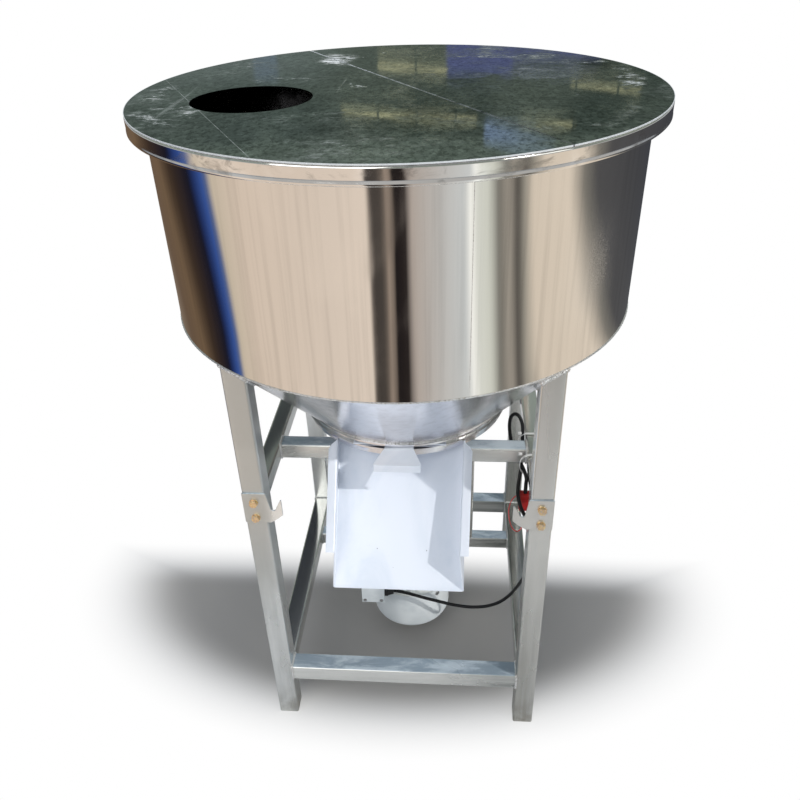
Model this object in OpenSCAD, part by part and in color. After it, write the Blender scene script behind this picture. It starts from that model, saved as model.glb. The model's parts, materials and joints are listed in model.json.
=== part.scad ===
// Vertical seed mixer: a round hopper on a welded tube stand, with a bottom
// geared motor, a sliding discharge gate, a chute and a lid in two halves.
// Millimetres, +Z up, origin on the floor under the drum axis, front towards -Y.

/* [Drum] */
// Outside diameter of the drum wall
drum_d = 800; // [796:1:812]
// Height of the straight drum wall
wall_h = 342; // [300:1:380]
// Height of the cone below the wall
cone_h = 220; // [200:1:240]
// Outside diameter of the cone at its outlet
outlet_d = 390; // [380:1:400]
// Height of the outlet above the floor
outlet_z = 654; // [640:1:680]
// Thickness of the drum and cone sheet
sheet_t = 2; // [1.5:0.1:3]
// Reach of the turned-down rim outside the drum wall
rim_w = 25; // [18:1:40]
// Height of the rim skirt
rim_h = 25; // [14:1:30]
// Thickness of the rim sheet
rim_t = 2; // [1.5:0.1:3]

/* [Lid] */
// Thickness of the lid sheet
lid_t = 2; // [1.5:0.1:3]
// Distance of the seam from the drum axis
seam_offset = 20; // [0:1:30]
// Direction square to the seam, from +X
seam_angle = 31.5; // [20:0.5:40]
// Gap between the two lid halves
seam_gap = 2; // [1:0.5:4]
// Diameter of the feed hole
feed_d = 190; // [150:1:210]
// Distance of the feed hole from the drum axis
feed_r = 233; // [225:1:245]
// Direction of the feed hole, from +X
feed_angle = 197.5; // [190:0.5:205]
// Height of the locating lugs under the lid
lug_h = 12; // [8:1:20]
// Width of the bar under the seam
bar_w = 40; // [30:1:50]
// Depth of the web of the bar under the seam
bar_web_h = 22; // [15:1:30]

/* [Bottom and gate] */
// Reach of the two bottom plates outside the outlet
plate_lap = 5; // [4:0.5:10]
// Thickness of the two bottom plates
plate_t = 4; // [3:0.5:5]
// Height of the slot that the gate slides in
slot_h = 6; // [5:0.5:8]
// Height of the collar under the lower plate
collar_h = 12; // [8:1:16]
// Width of the discharge opening
outlet_w = 140; // [120:1:150]
// Length of the discharge opening
outlet_l = 58; // [50:1:60]
// Distance from the drum axis to the back of the opening
outlet_y = 118; // [116:1:122]
// Thickness of the gate sheet
gate_t = 3; // [2:0.5:4]
// Overlap of the gate on each side of the opening
gate_lap = 14; // [10:1:16]
// Running gap beside and under the gate
gate_gap = 0.3; // [0.2:0.05:0.5]
// Width of the neck of the gate's pull tab
neck_w = 52; // [40:1:60]
// Width of the pull tab at its front edge
tab_w = 82; // [70:1:100]
// Reach of the pull tab in front of the bottom plates
tab_reach = 52; // [40:1:70]
// Depth of the lip at the front of the pull tab
tab_lip_h = 14; // [8:1:20]

/* [Chute] */
// Inside width of the chute
chute_w = 236; // [220:1:240]
// Thickness of the chute sheet
chute_t = 2; // [1.5:0.1:3]
// Width of the flange along each side wall
chute_flange = 16; // [10:1:20]
// Forward reach of the lip from the drum axis
lip_y = 315; // [300:1:330]
// Height of the lip above the floor
lip_z = 410; // [396:1:420]
// Upright height of the side walls at the lip
lip_wall_h = 90; // [70:1:100]

/* [Stand] */
// Width of the stand over its legs
stand_w = 540; // [536:1:544]
// Depth of the stand over its legs
stand_d = 580; // [574:1:584]
// Width of the square leg tube
leg_w = 40; // [38:1:42]
// Wall of the leg tube
leg_t = 2; // [1.5:0.1:3]
// Width of the square rail tube
rail_w = 32; // [30:1:34]
// Wall of the rail tube
rail_t = 2; // [1.5:0.1:3]
// Outside radius of the corners of the tubes
tube_corner = 4; // [3.5:0.5:5]
// Width of the square tube of the lower rails
low_rail_w = 38; // [30:1:40]
// Height of the top of the lower rails
low_rail_z = 145; // [120:1:160]
// Height of the top of the upper rails
high_rail_z = 602; // [596:1:604]
// Front face of the front cross rail, in front of the drum axis
front_cross_y = 136; // [130:1:138]
// Front face of the rear cross rail, behind the drum axis
rear_cross_y = 116; // [112:1:122]
// Distance of each support post from the drum axis, to its outer face
post_x = 144; // [138:1:160]

/* [Bag hooks] */
// Thickness of the bag hook plates
hook_t = 3; // [2:0.5:5]
// Reach of the bag hooks from the outer face of a leg
hook_l = 69; // [64:1:80]
// Height of the bag hook plates
hook_h = 65; // [60:1:70]
// Height of the bottom of the bag hooks above the floor
hook_z = 546; // [533:1:550]
// Height of the lower bolt above the bottom of the hook
hook_bolt_z = 11; // [10:1:14]
// Distance between the two bolts of a hook
hook_bolt_gap = 34; // [30:1:38]

/* [Agitator] */
// Diameter of the mixing shaft
shaft_d = 35; // [34:1:35]
// Height of the arms of the lower paddles above the outlet
low_arm_h = 254; // [244:1:270]
// Height of the arms of the upper paddles above the lower ones
arm_gap = 130; // [120:1:140]
// Reach of the shaft above the upper arms
shaft_over = 60; // [50:1:70]
// Reach of the paddles from the shaft axis
paddle_r = 345; // [300:1:360]
// Diameter of the paddle arms
arm_d = 18; // [14:1:22]
// Length of a paddle blade
paddle_l = 130; // [100:1:150]
// Height of a paddle blade
paddle_h = 64; // [50:1:80]
// Thickness of the paddle and scraper blades
blade_t = 6; // [4:1:8]
// Pitch of the paddle blades
paddle_pitch = 40; // [30:1:50]
// Gap between the scraper and the bottom of the hopper
scrape_gap = 12; // [10:1:16]

/* [Drive] */
// Thickness of the plate that carries the gearbox
motor_plate_t = 8; // [6:1:10]
// Width of the plate that carries the gearbox
motor_plate_w = 220; // [200:1:230]
// Diameter of the gearbox flange
gear_flange_d = 190; // [184:1:196]
// Thickness of the gearbox flange
gear_flange_t = 12; // [10:1:16]
// Diameter of the gearbox casing
gear_d = 156; // [150:1:158]
// Height of the gearbox casing below its flange
gear_h = 130; // [118:1:134]
// Pitch circle of the gearbox bolts
gear_pcd = 172; // [170:1:174]
// Radius of the circle of ring pins in the gearbox
pin_circle_r = 58; // [57:0.5:60]
// Number of ring pins, one more than the lobes of a cycloid disc
pin_count = 18; // [16:1:20]
// Radius of a ring pin
pin_r = 5; // [4:0.5:5.5]
// Offset of the eccentric
eccentric = 2; // [1.6:0.1:2.2]
// Thickness of a cycloid disc
disc_t = 10; // [8:1:12]
// Diameter of the motor frame without its fins
motor_d = 134; // [128:1:136]
// Height of the motor frame
motor_h = 262; // [250:1:266]
// Reach of the motor fins
fin_h = 10; // [6:1:12]
// Number of cooling fins around the motor
fin_count = 28; // [20:4:32]
// Diameter of the fan cowl
cowl_d = 176; // [172:1:182]
// Height of the fan cowl
cowl_h = 105; // [96:1:110]
// Thickness of the fan cowl
cowl_t = 1.5; // [1:0.5:2]
// Diameter of the motor shaft
rotor_d = 24; // [20:1:26]
// Diameter of the motor cable
cable_d = 7; // [6:0.5:7]

/* [Hidden] */

$fn = 96;
eps = 0.01;
running = 0.05;
loose = 0.3;

galvanised = [0.68, 0.70, 0.70];
stainless = [0.76, 0.72, 0.66];
white_sheet = [0.90, 0.91, 0.94];
motor_grey = [0.80, 0.82, 0.80];
dark_steel = [0.32, 0.33, 0.34];
yellow_zinc = [0.80, 0.62, 0.34];
black_plastic = [0.06, 0.06, 0.06];

drum_r = drum_d / 2;
outlet_r = outlet_d / 2;
rim_r = drum_r + rim_w;
plate_r = outlet_r + plate_lap;
cone_top_z = outlet_z + cone_h;
low_arm_z = outlet_z + low_arm_h;
high_arm_z = low_arm_z + arm_gap;
shaft_top_z = high_arm_z + shaft_over;
rim_top_z = cone_top_z + wall_h;
cone_slope = (drum_r - outlet_r) / cone_h;
cone_angle = atan2(cone_h, drum_r - outlet_r);
cone_t = sheet_t / sin(cone_angle);

slot_top_z = outlet_z - plate_t;
slot_low_z = slot_top_z - slot_h;
housing_z = slot_low_z - plate_t;
collar_z = housing_z - collar_h;
collar_t = 2;
gate_w = outlet_w + 2 * gate_lap;
gate_back_y = outlet_y - gate_lap;
gate_front_y = outlet_y + outlet_l + 10;
gate_z = slot_low_z + gate_gap;

// Bearing at the bottom of the hopper
bearing_od = 72;
bearing_w = 17;
race_t = 5;
ball_count = 9;
hub_r = 45;
hub_flange_r = 70;
hub_flange_t = 10;
hub_rise = 6;
hub_drop = 24;
hub_floor_t = 6;
hub_top_z = outlet_z + hub_rise;
hub_low_z = housing_z - hub_drop;
bearing_z = hub_low_z + hub_floor_t;
seal_h = 8;
seal_r = 26;
hub_bolt_r = 58;
shaft_r = shaft_d / 2;
lip_bore_r = shaft_r + 2;

// Square bars of the stand
leg_x = stand_w / 2;
leg_y = stand_d / 2;
cross_in = leg_x - (leg_w + rail_w) / 2;
low_cross_in = leg_x - (leg_w + low_rail_w) / 2;
rail_span_x = stand_w - 2 * leg_w;
rail_span_y = stand_d - 2 * leg_w;
cross_z = high_rail_z - rail_w;

// Chute line, from the lip up to the collar
chute_r = chute_w / 2 + chute_t;
wall_y = sqrt(pow(plate_r - 2.4, 2) - pow(chute_r, 2));
chute_head_y = outlet_y + 2;
chute_head_z = collar_z - 2;
chute_slope = (chute_head_z - lip_z) / (lip_y - chute_head_y);

// Drive train, from the plate down
motor_plate_z = cross_z - motor_plate_t;
gear_flange_z = motor_plate_z - gear_flange_t;
gear_z = gear_flange_z - gear_h;
spigot_r = 50;
motor_flange_t = 14;
motor_flange_z = gear_z - motor_flange_t;
motor_frame_z = motor_flange_z - motor_h;
shield_h = 16;
shield_z = motor_frame_z - shield_h;
cowl_lap = 20;
cowl_z = shield_z + cowl_lap - cowl_h;
motor_r = motor_d / 2;
shield_r = cowl_d / 2 - cowl_t;
cowl_screw_l = 9;
cowl_corner_r = 16;
core_r = 39.6;
core_inset = 40;
fan_h = 28;
fan_back_t = 4;
fan_z = shield_z - fan_h - 6;
fin_r = motor_r + fin_h;
cowl_r = cowl_d / 2;
rotor_r = rotor_d / 2;
coupling_r = 30;
coupling_z = cross_z + 1;
coupling_top_z = hub_low_z - 3;
shaft_joint_z = (coupling_z + coupling_top_z) / 2;
disc_low_z = gear_z + 10;
disc_high_z = disc_low_z + disc_t + 2;
carrier_z = disc_high_z + disc_t + 3;
carrier_t = 10;
carrier_r = 46;
ring_pin_l = disc_high_z + disc_t + 2 - gear_z;
output_pin_r = 5.5;
output_pin_circle = 36;
output_pin_count = 6;
disc_bore_r = 22;
pin_gap = 0.2;
ring_bore_r = pin_circle_r + 1;
cavity_h = carrier_z + carrier_t + 1 - gear_z;
rotor_top_z = disc_low_z + 2 * disc_t + 4;
cable_r = cable_d / 2;

// Sheet-metal ring between two radii
module ring(r_in, r_out, h) {
    difference() {
        cylinder(r = r_out, h = h);
        translate([0, 0, -1]) cylinder(r = r_in, h = h + 2);
    }
}

// Section of a square tube with rounded corners, from the origin corner
module rounded_square(w, r) {
    translate([r, 0]) square([w - 2 * r, w]);
    translate([0, r]) square([w, w - 2 * r]);
    for (x = [r, w - r], y = [r, w - r]) translate([x, y]) circle(r = r, $fn = 32);
}

module tube_section(w, t) {
    difference() {
        rounded_square(w, tube_corner);
        translate([t, t]) rounded_square(w - 2 * t, tube_corner - t);
    }
}

// Square tubes from the origin corner, lying along +X, lying along +Y and standing along +Z
module tube_x(l, w, t) {
    translate([0, w, 0]) rotate([90, 0, 90]) mirror([1, 0, 0]) linear_extrude(l) tube_section(w, t);
}

module tube_y(l, w, t) {
    translate([0, l, 0]) rotate([90, 0, 0]) linear_extrude(l) tube_section(w, t);
}

module tube_z(l, w, t) {
    linear_extrude(l) tube_section(w, t);
}

// Hexagon bolt with its head above the origin and its shank below
module hex_bolt(d, l, head_h) {
    cylinder(r = d * 0.94, h = head_h, $fn = 6);
    translate([0, 0, -l]) cylinder(r = d / 2, h = l + eps, $fn = 32);
}

// Hexagon nut standing on the origin plane around a shank
module hex_nut(d, h) {
    difference() {
        cylinder(r = d * 0.94, h = h, $fn = 6);
        translate([0, 0, -1]) cylinder(r = d / 2, h = h + 2, $fn = 32);
    }
}

// Solid inside the outer faces of the cone and the wall
module hopper_body() {
    translate([0, 0, outlet_z]) cylinder(r1 = outlet_r, r2 = drum_r, h = cone_h);
    translate([0, 0, cone_top_z - eps]) cylinder(r = drum_r, h = wall_h);
}

// Drum

module drum_wall() {
    color(stainless) translate([0, 0, cone_top_z]) ring(drum_r - sheet_t, drum_r, wall_h);
}

module drum_rim() {
    color(stainless) {
        translate([0, 0, rim_top_z - rim_t]) ring(drum_r, rim_r, rim_t);
        translate([0, 0, rim_top_z - rim_h]) ring(rim_r - rim_t, rim_r, rim_h);
    }
}

module drum_cone() {
    color(stainless) rotate_extrude() polygon([
        [outlet_r - cone_t, outlet_z], [outlet_r, outlet_z], [drum_r, cone_top_z],
        [drum_r - cone_t, cone_top_z]]);
}

// Opening that lets the seed out, as a prism that cuts both bottom plates
module discharge_cut() {
    translate([-outlet_w / 2, -outlet_y - outlet_l, housing_z - 1])
        cube([outlet_w, outlet_l, outlet_z - housing_z + 2]);
}

module bottom_plate() {
    color(stainless) difference() {
        translate([0, 0, slot_top_z]) cylinder(r = plate_r, h = plate_t);
        translate([0, 0, slot_top_z - 1]) cylinder(r = hub_r, h = plate_t + 2);
        discharge_cut();
    }
}

// Spacer between the plates: its straight-sided mouth guides the gate
module gate_spacer() {
    color(galvanised) difference() {
        translate([0, 0, slot_low_z]) cylinder(r = plate_r - 5, h = slot_h);
        translate([0, 0, slot_low_z - 1]) cylinder(r = hub_r, h = slot_h + 2);
        translate([-gate_w / 2 - gate_gap, -plate_r, slot_low_z - 1])
            cube([gate_w + 2 * gate_gap, plate_r - gate_back_y + gate_gap, slot_h + 2]);
    }
}

module gate_housing() {
    color(stainless) difference() {
        union() {
            translate([0, 0, housing_z]) cylinder(r = plate_r, h = plate_t);
            translate([0, 0, collar_z]) ring(outlet_r - collar_t, outlet_r, collar_h + eps);
        }
        translate([0, 0, housing_z - 1]) cylinder(r = hub_r, h = plate_t + 2);
        discharge_cut();
        hub_bolts_cut();
    }
}

// Flat gate with a neck, a flared pull tab and a lip bent down at its front
module slide_gate() {
    tab_y = plate_r + tab_reach;
    color(white_sheet) {
        translate([0, 0, gate_z]) linear_extrude(gate_t) polygon([
            [-gate_w / 2, -gate_back_y], [-gate_w / 2, -gate_front_y], [-neck_w / 2, -gate_front_y],
            [-neck_w / 2, -plate_r], [-tab_w / 2, -tab_y + 8], [-tab_w / 2, -tab_y],
            [tab_w / 2, -tab_y], [tab_w / 2, -tab_y + 8], [neck_w / 2, -plate_r],
            [neck_w / 2, -gate_front_y], [gate_w / 2, -gate_front_y], [gate_w / 2, -gate_back_y]]);
        translate([-tab_w / 2, -tab_y, gate_z + gate_t - tab_lip_h]) cube([tab_w, gate_t, tab_lip_h]);
    }
}

// Side view of a chute wall, as (reach forward, height)
wall_top_z = lip_z + lip_wall_h;
chute_wall = [[lip_y, lip_z], [lip_y, wall_top_z], [wall_y + 8, housing_z], [wall_y, housing_z],
    [wall_y, chute_head_z], [chute_head_y, chute_head_z]];
chute_top_angle = atan2(housing_z - wall_top_z, lip_y - wall_y - 8);
chute_top_l = norm([housing_z - wall_top_z, lip_y - wall_y - 8]);

module chute() {
    floor_t = chute_t * sqrt(1 + chute_slope * chute_slope);
    color(white_sheet) {
        for (side = [-1, 1])
            translate([side * (chute_r - chute_t / 2) - chute_t / 2, 0, 0])
                rotate([90, 0, 90]) linear_extrude(chute_t) polygon([for (p = chute_wall) [-p[0], p[1]]]);
        translate([-chute_w / 2 - eps, 0, 0]) rotate([90, 0, 90]) linear_extrude(chute_w + 2 * eps)
            polygon([[-lip_y, lip_z], [-lip_y, lip_z + floor_t],
                [-chute_head_y - floor_t / chute_slope, chute_head_z], [-chute_head_y, chute_head_z]]);
        for (side = [-1, 1])
            translate([side > 0 ? chute_r - eps : -chute_r - chute_flange + eps, -lip_y, wall_top_z])
                rotate([chute_top_angle, 0, 0]) translate([0, 0, -chute_t])
                    cube([chute_flange, chute_top_l - 12, chute_t]);
    }
}

// Lid

// Half disc on one side of the seam: side is -1 left or +1 right
module half_disc(r, h, side) {
    intersection() {
        cylinder(r = r, h = h);
        rotate(seam_angle) translate([side > 0 ? seam_offset + seam_gap / 2 : -2 * r, -r - 1, -1])
            cube([side > 0 ? 2 * r : 2 * r + seam_offset - seam_gap / 2, 2 * r + 2, h + 2]);
    }
}

// Lugs that keep a lid half inside the mouth of the drum
module lid_lugs(angles) {
    for (a = angles) rotate(seam_angle + a)
        translate([drum_r - sheet_t - 7, -12, rim_top_z - lug_h]) cube([5, 24, lug_h + eps]);
}

module lid_left() {
    color(dark_steel) difference() {
        union() {
            translate([0, 0, rim_top_z]) half_disc(rim_r, lid_t, -1);
            lid_lugs([110, 180, 250]);
        }
        rotate(feed_angle) translate([feed_r, 0, rim_top_z - 1]) cylinder(r = feed_d / 2, h = lid_t + 2);
    }
}

module lid_right() {
    color(dark_steel) {
        translate([0, 0, rim_top_z]) half_disc(rim_r, lid_t, 1);
        lid_lugs([-70, 0, 70]);
    }
}

// T bar across the mouth of the drum, under the seam
module lid_bar() {
    top_t = 3;
    web_t = 3;
    top_z = rim_top_z - loose;
    color(galvanised) intersection() {
        cylinder(r = drum_r - sheet_t, h = rim_top_z + 1);
        rotate(seam_angle) translate([seam_offset, 0, 0]) {
            translate([-bar_w / 2, -drum_r, top_z - top_t]) cube([bar_w, drum_d, top_t]);
            translate([-web_t / 2, -drum_r, top_z - top_t - bar_web_h])
                cube([web_t, drum_d, bar_web_h + eps]);
        }
    }
}

// Stand

// Leg at one corner, cut on top to seat against the cone
module leg(sx, sy) {
    color(galvanised) difference() {
        translate([sx > 0 ? leg_x - leg_w : -leg_x, sy > 0 ? leg_y - leg_w : -leg_y, 0])
            tube_z(cone_top_z - eps, leg_w, leg_t);
        hopper_body();
        if (sy < 0) hook_bolt_places(sx) translate([0, 0, -20]) cylinder(r = 4.1, h = 30, $fn = 32);
    }
}

module front_left_leg() { leg(-1, -1); }
module front_right_leg() { leg(1, -1); }
module rear_left_leg() { leg(-1, 1); }
module rear_right_leg() { leg(1, 1); }

// Rails between two legs, on their middle: across at the front or rear, or fore and aft at one side
module across_rail(sy, top_z, w) {
    color(galvanised) translate([-rail_span_x / 2, sy * (leg_y - leg_w / 2) - w / 2, top_z - w])
        tube_x(rail_span_x, w, rail_t);
}

module side_rail(sx, top_z, w) {
    color(galvanised) translate([sx * (leg_x - leg_w / 2) - w / 2, -rail_span_y / 2, top_z - w])
        tube_y(rail_span_y, w, rail_t);
}

// Cross rail between the inner faces of two side rails
module cross_rail(y, top_z, inner_x) {
    color(galvanised) translate([-inner_x, y, top_z - rail_w]) tube_x(2 * inner_x, rail_w, rail_t);
}

module lower_front_rail() { across_rail(-1, low_rail_z, low_rail_w); }
module lower_rear_rail() { across_rail(1, low_rail_z, low_rail_w); }
module lower_left_rail() { side_rail(-1, low_rail_z, low_rail_w); }
module lower_right_rail() { side_rail(1, low_rail_z, low_rail_w); }
module lower_mid_rail() { cross_rail(rear_cross_y, low_rail_z - tube_corner, low_cross_in); }
module upper_left_rail() { side_rail(-1, high_rail_z, rail_w); }
module upper_right_rail() { side_rail(1, high_rail_z, rail_w); }
module front_cross_rail() { cross_rail(-front_cross_y, high_rail_z, cross_in); }
module rear_cross_rail() { cross_rail(rear_cross_y, high_rail_z, cross_in); }

module support_posts() {
    color(galvanised) for (sx = [-1, 1])
        translate([sx > 0 ? post_x - rail_w : -post_x, rear_cross_y, low_rail_z - tube_corner])
            tube_z(cross_z - low_rail_z + tube_corner, rail_w, rail_t);
}

// Bag hooks

// Bolt axes of the hook on one front leg, with +Z pointing out of the leg's front face
module hook_bolt_places(sx) {
    for (i = [0, 1])
        translate([sx * (leg_x - leg_w / 2), -leg_y, hook_z + hook_bolt_z + i * hook_bolt_gap])
            rotate([90, 0, 0]) children();
}

// Plate with a notch that opens upwards beside its horn, drawn inwards from the leg's outer face
module hook_plate() {
    notch_x = hook_l - 16;
    notch_z = hook_h / 2;
    notch_r = 5;
    horn_z = hook_h * 0.78;
    difference() {
        polygon([[0, 0], [leg_w + 6, 0], [hook_l - 10, 9], [hook_l, 18], [hook_l, horn_z],
            [hook_l - 3, hook_h], [0, hook_h]]);
        polygon([[leg_w + 2, hook_h + 1], [notch_x - notch_r, notch_z], [notch_x + notch_r, notch_z],
            [hook_l - 2, horn_z], [hook_l - 2, hook_h + 1]]);
        polygon([[hook_l - 3, horn_z], [hook_l + 1, horn_z], [hook_l + 1, hook_h + 1],
            [hook_l - 3, hook_h + 1]]);
        translate([notch_x, notch_z]) circle(r = notch_r, $fn = 32);
    }
}

module bag_hook(sx) {
    color(galvanised) difference() {
        translate([sx * leg_x, -leg_y, hook_z]) mirror([sx > 0 ? 1 : 0, 0, 0])
            rotate([90, 0, 0]) linear_extrude(hook_t) hook_plate();
        hook_bolt_places(sx) translate([0, 0, -1]) cylinder(r = 4.1, h = hook_t + 2, $fn = 32);
    }
}

module left_bag_hook() { bag_hook(-1); }
module right_bag_hook() { bag_hook(1); }

module hook_bolts() {
    color(yellow_zinc) for (sx = [-1, 1]) hook_bolt_places(sx) translate([0, 0, hook_t]) {
        ring(4, 8, 1.2);
        translate([0, 0, 1.2]) hex_bolt(8, hook_t + leg_t + 8, 5.3);
    }
}

// Shaft, bearing and agitator

module hub_bolt_places() {
    for (a = [45:90:359]) rotate(a) translate([hub_bolt_r, 0, housing_z]) children();
}

module hub_bolts_cut() {
    hub_bolt_places() translate([0, 0, -hub_flange_t - 1])
        cylinder(r = 4.1, h = hub_flange_t + plate_t + 2, $fn = 32);
}

module bearing_housing() {
    color(dark_steel) difference() {
        union() {
            translate([0, 0, hub_low_z]) cylinder(r = hub_r, h = hub_top_z - hub_low_z);
            translate([0, 0, housing_z - hub_flange_t]) cylinder(r = hub_flange_r, h = hub_flange_t);
        }
        translate([0, 0, hub_low_z - 1]) cylinder(r = lip_bore_r, h = hub_top_z - hub_low_z + 2);
        translate([0, 0, bearing_z]) cylinder(r = bearing_od / 2, h = bearing_w);
        translate([0, 0, hub_top_z - seal_h]) cylinder(r = seal_r, h = seal_h + 1);
        hub_bolts_cut();
    }
}

module housing_bolts() {
    color(dark_steel) hub_bolt_places() translate([0, 0, -hub_flange_t]) rotate([180, 0, 0])
        hex_bolt(8, hub_flange_t + plate_t, 5.3);
}

module bearing_outer_ring() {
    color(dark_steel) translate([0, 0, bearing_z]) ring(bearing_od / 2 - race_t, bearing_od / 2, bearing_w);
}

module bearing_inner_ring() {
    color(dark_steel) translate([0, 0, bearing_z]) ring(shaft_r, shaft_r + race_t, bearing_w);
}

module bearing_balls() {
    gap = bearing_od / 2 - race_t - shaft_r - race_t;
    color(galvanised) for (i = [0:ball_count - 1]) rotate(i * 360 / ball_count)
        translate([shaft_r + race_t + gap / 2, 0, bearing_z + bearing_w / 2])
            sphere(r = gap / 2 - running, $fn = 24);
}

module shaft_seal() {
    color(black_plastic) translate([0, 0, hub_top_z - seal_h]) ring(shaft_r + running, seal_r, seal_h);
}

// Output shaft with its carrier plate and the pins that the cycloid discs drive
module output_shaft() {
    color(dark_steel) {
        translate([0, 0, carrier_z]) cylinder(r = carrier_r, h = carrier_t);
        translate([0, 0, carrier_z + eps]) cylinder(r = shaft_r, h = shaft_joint_z - carrier_z - eps);
        for (i = [0:output_pin_count - 1]) rotate(i * 360 / output_pin_count)
            translate([output_pin_circle, 0, disc_low_z - 2])
                cylinder(r = output_pin_r, h = carrier_z - disc_low_z + 2 + eps, $fn = 48);
    }
}

// Hardened pins round the inside of the gearbox, half sunk in its wall
module ring_pins() {
    color(galvanised) for (i = [0:pin_count - 1]) rotate(i * 360 / pin_count)
        translate([pin_circle_r, 0, gear_z]) cylinder(r = pin_r, h = ring_pin_l, $fn = 48);
}

// Two eccentric rings on the motor shaft, half a turn apart
module eccentric_sleeve() {
    color(galvanised) difference() {
        for (side = [1, -1])
            translate([side * eccentric, 0, side > 0 ? disc_low_z - 1 : disc_high_z - 1])
                cylinder(r = disc_bore_r - running, h = disc_t + 2);
        translate([0, 0, gear_z]) cylinder(r = rotor_r, h = cavity_h);
    }
}

// Point of the cycloid outline at the angle t, which rolls inside the ring pins
function cycloid_point(t) =
    let (lean = atan2(sin((1 - pin_count) * t),
        pin_circle_r / (eccentric * pin_count) - cos((1 - pin_count) * t)),
        r = pin_r + pin_gap)
    [pin_circle_r * cos(t) - r * cos(t + lean) - eccentric * cos(pin_count * t),
        -pin_circle_r * sin(t) + r * sin(t + lean) + eccentric * sin(pin_count * t)];

// Lobed disc on its eccentric, with holes that the output pins roll in
module cycloid_disc(turn, z) {
    steps = 24 * (pin_count - 1);
    color(galvanised) rotate(turn) translate([eccentric, 0, z]) linear_extrude(disc_t) difference() {
        polygon([for (i = [0:steps - 1]) cycloid_point(-i * 360 / steps)]);
        circle(r = disc_bore_r);
        for (i = [0:output_pin_count - 1]) rotate(i * 360 / output_pin_count)
            translate([output_pin_circle, 0]) circle(r = output_pin_r + eccentric + pin_gap, $fn = 48);
    }
}

module lower_cycloid_disc() { cycloid_disc(0, disc_low_z); }
module upper_cycloid_disc() { cycloid_disc(180, disc_high_z); }

// Shaft of the agitator with a domed end
module mixer_shaft() {
    color(stainless) {
        translate([0, 0, shaft_joint_z]) cylinder(r = shaft_r, h = shaft_top_z - shaft_joint_z);
        translate([0, 0, shaft_top_z - eps]) intersection() {
            translate([0, 0, -shaft_r]) sphere(r = shaft_r * sqrt(2));
            cylinder(r = shaft_r, h = shaft_r);
        }
    }
}

// Split sleeve that joins the two shafts, with a relief groove round its middle
module shaft_coupling() {
    color(dark_steel) difference() {
        translate([0, 0, coupling_z]) ring(shaft_r, coupling_r, coupling_top_z - coupling_z);
        translate([0, 0, shaft_joint_z - 3]) ring(coupling_r - 3, coupling_r + 1, 6);
    }
}

module agitator_hub(z, h) {
    translate([0, 0, z]) ring(shaft_r, shaft_r + 12, h);
}

// Two scraper blades that follow the flat bottom and the cone
module scraper() {
    foot_z = outlet_z + scrape_gap;
    toe_r = outlet_r - 18;
    blade_w = 46;
    flank_l = cone_h * 0.98;
    tip_r = toe_r + flank_l * cos(cone_angle);
    tip_z = foot_z + flank_l * sin(cone_angle);
    color(stainless) difference() {
        union() {
            agitator_hub(foot_z, 60);
            for (a = [0, 180]) rotate(a) translate([0, blade_t / 2, 0]) rotate([90, 0, 0])
                linear_extrude(blade_t)
                polygon([[shaft_r + 6, foot_z], [toe_r, foot_z], [tip_r, tip_z],
                    [tip_r - blade_w * sin(cone_angle), tip_z + blade_w * cos(cone_angle)],
                    [toe_r - blade_w * tan(cone_angle / 2), foot_z + blade_w],
                    [shaft_r + 6, foot_z + blade_w]]);
        }
        translate([0, 0, foot_z - 1]) cylinder(r = shaft_r, h = 62);
    }
}

// Two arms with pitched blades on one hub
module paddle_pair(z, turn) {
    blade_c = paddle_r - paddle_l / 2;
    color(stainless) rotate(turn) difference() {
        union() {
            agitator_hub(z - 25, 50);
            for (a = [0, 180]) rotate(a) {
                translate([shaft_r + 4, 0, z]) rotate([0, 90, 0])
                    cylinder(r = arm_d / 2, h = blade_c - shaft_r - 4, $fn = 48);
                translate([blade_c, 0, z]) rotate([paddle_pitch, 0, 0])
                    cube([paddle_l, blade_t, paddle_h], center = true);
            }
        }
        translate([0, 0, z - 30]) cylinder(r = shaft_r, h = 60);
    }
}

module lower_paddles() { paddle_pair(low_arm_z, 60); }
module upper_paddles() { paddle_pair(high_arm_z, 150); }

// Drive

module gear_bolt_places() {
    for (a = [45:90:359]) rotate(a) translate([gear_pcd / 2, 0, motor_plate_z]) children();
}

module gear_bolts_cut() {
    gear_bolt_places() translate([0, 0, -gear_flange_t - 1])
        cylinder(r = 5.1, h = gear_flange_t + motor_plate_t + 2, $fn = 32);
}

module motor_plate() {
    color(galvanised) difference() {
        translate([-motor_plate_w / 2, -front_cross_y, motor_plate_z])
            cube([motor_plate_w, front_cross_y + rear_cross_y + rail_w, motor_plate_t]);
        translate([0, 0, motor_plate_z - 1]) cylinder(r = spigot_r, h = motor_plate_t + 2);
        gear_bolts_cut();
    }
}

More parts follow.
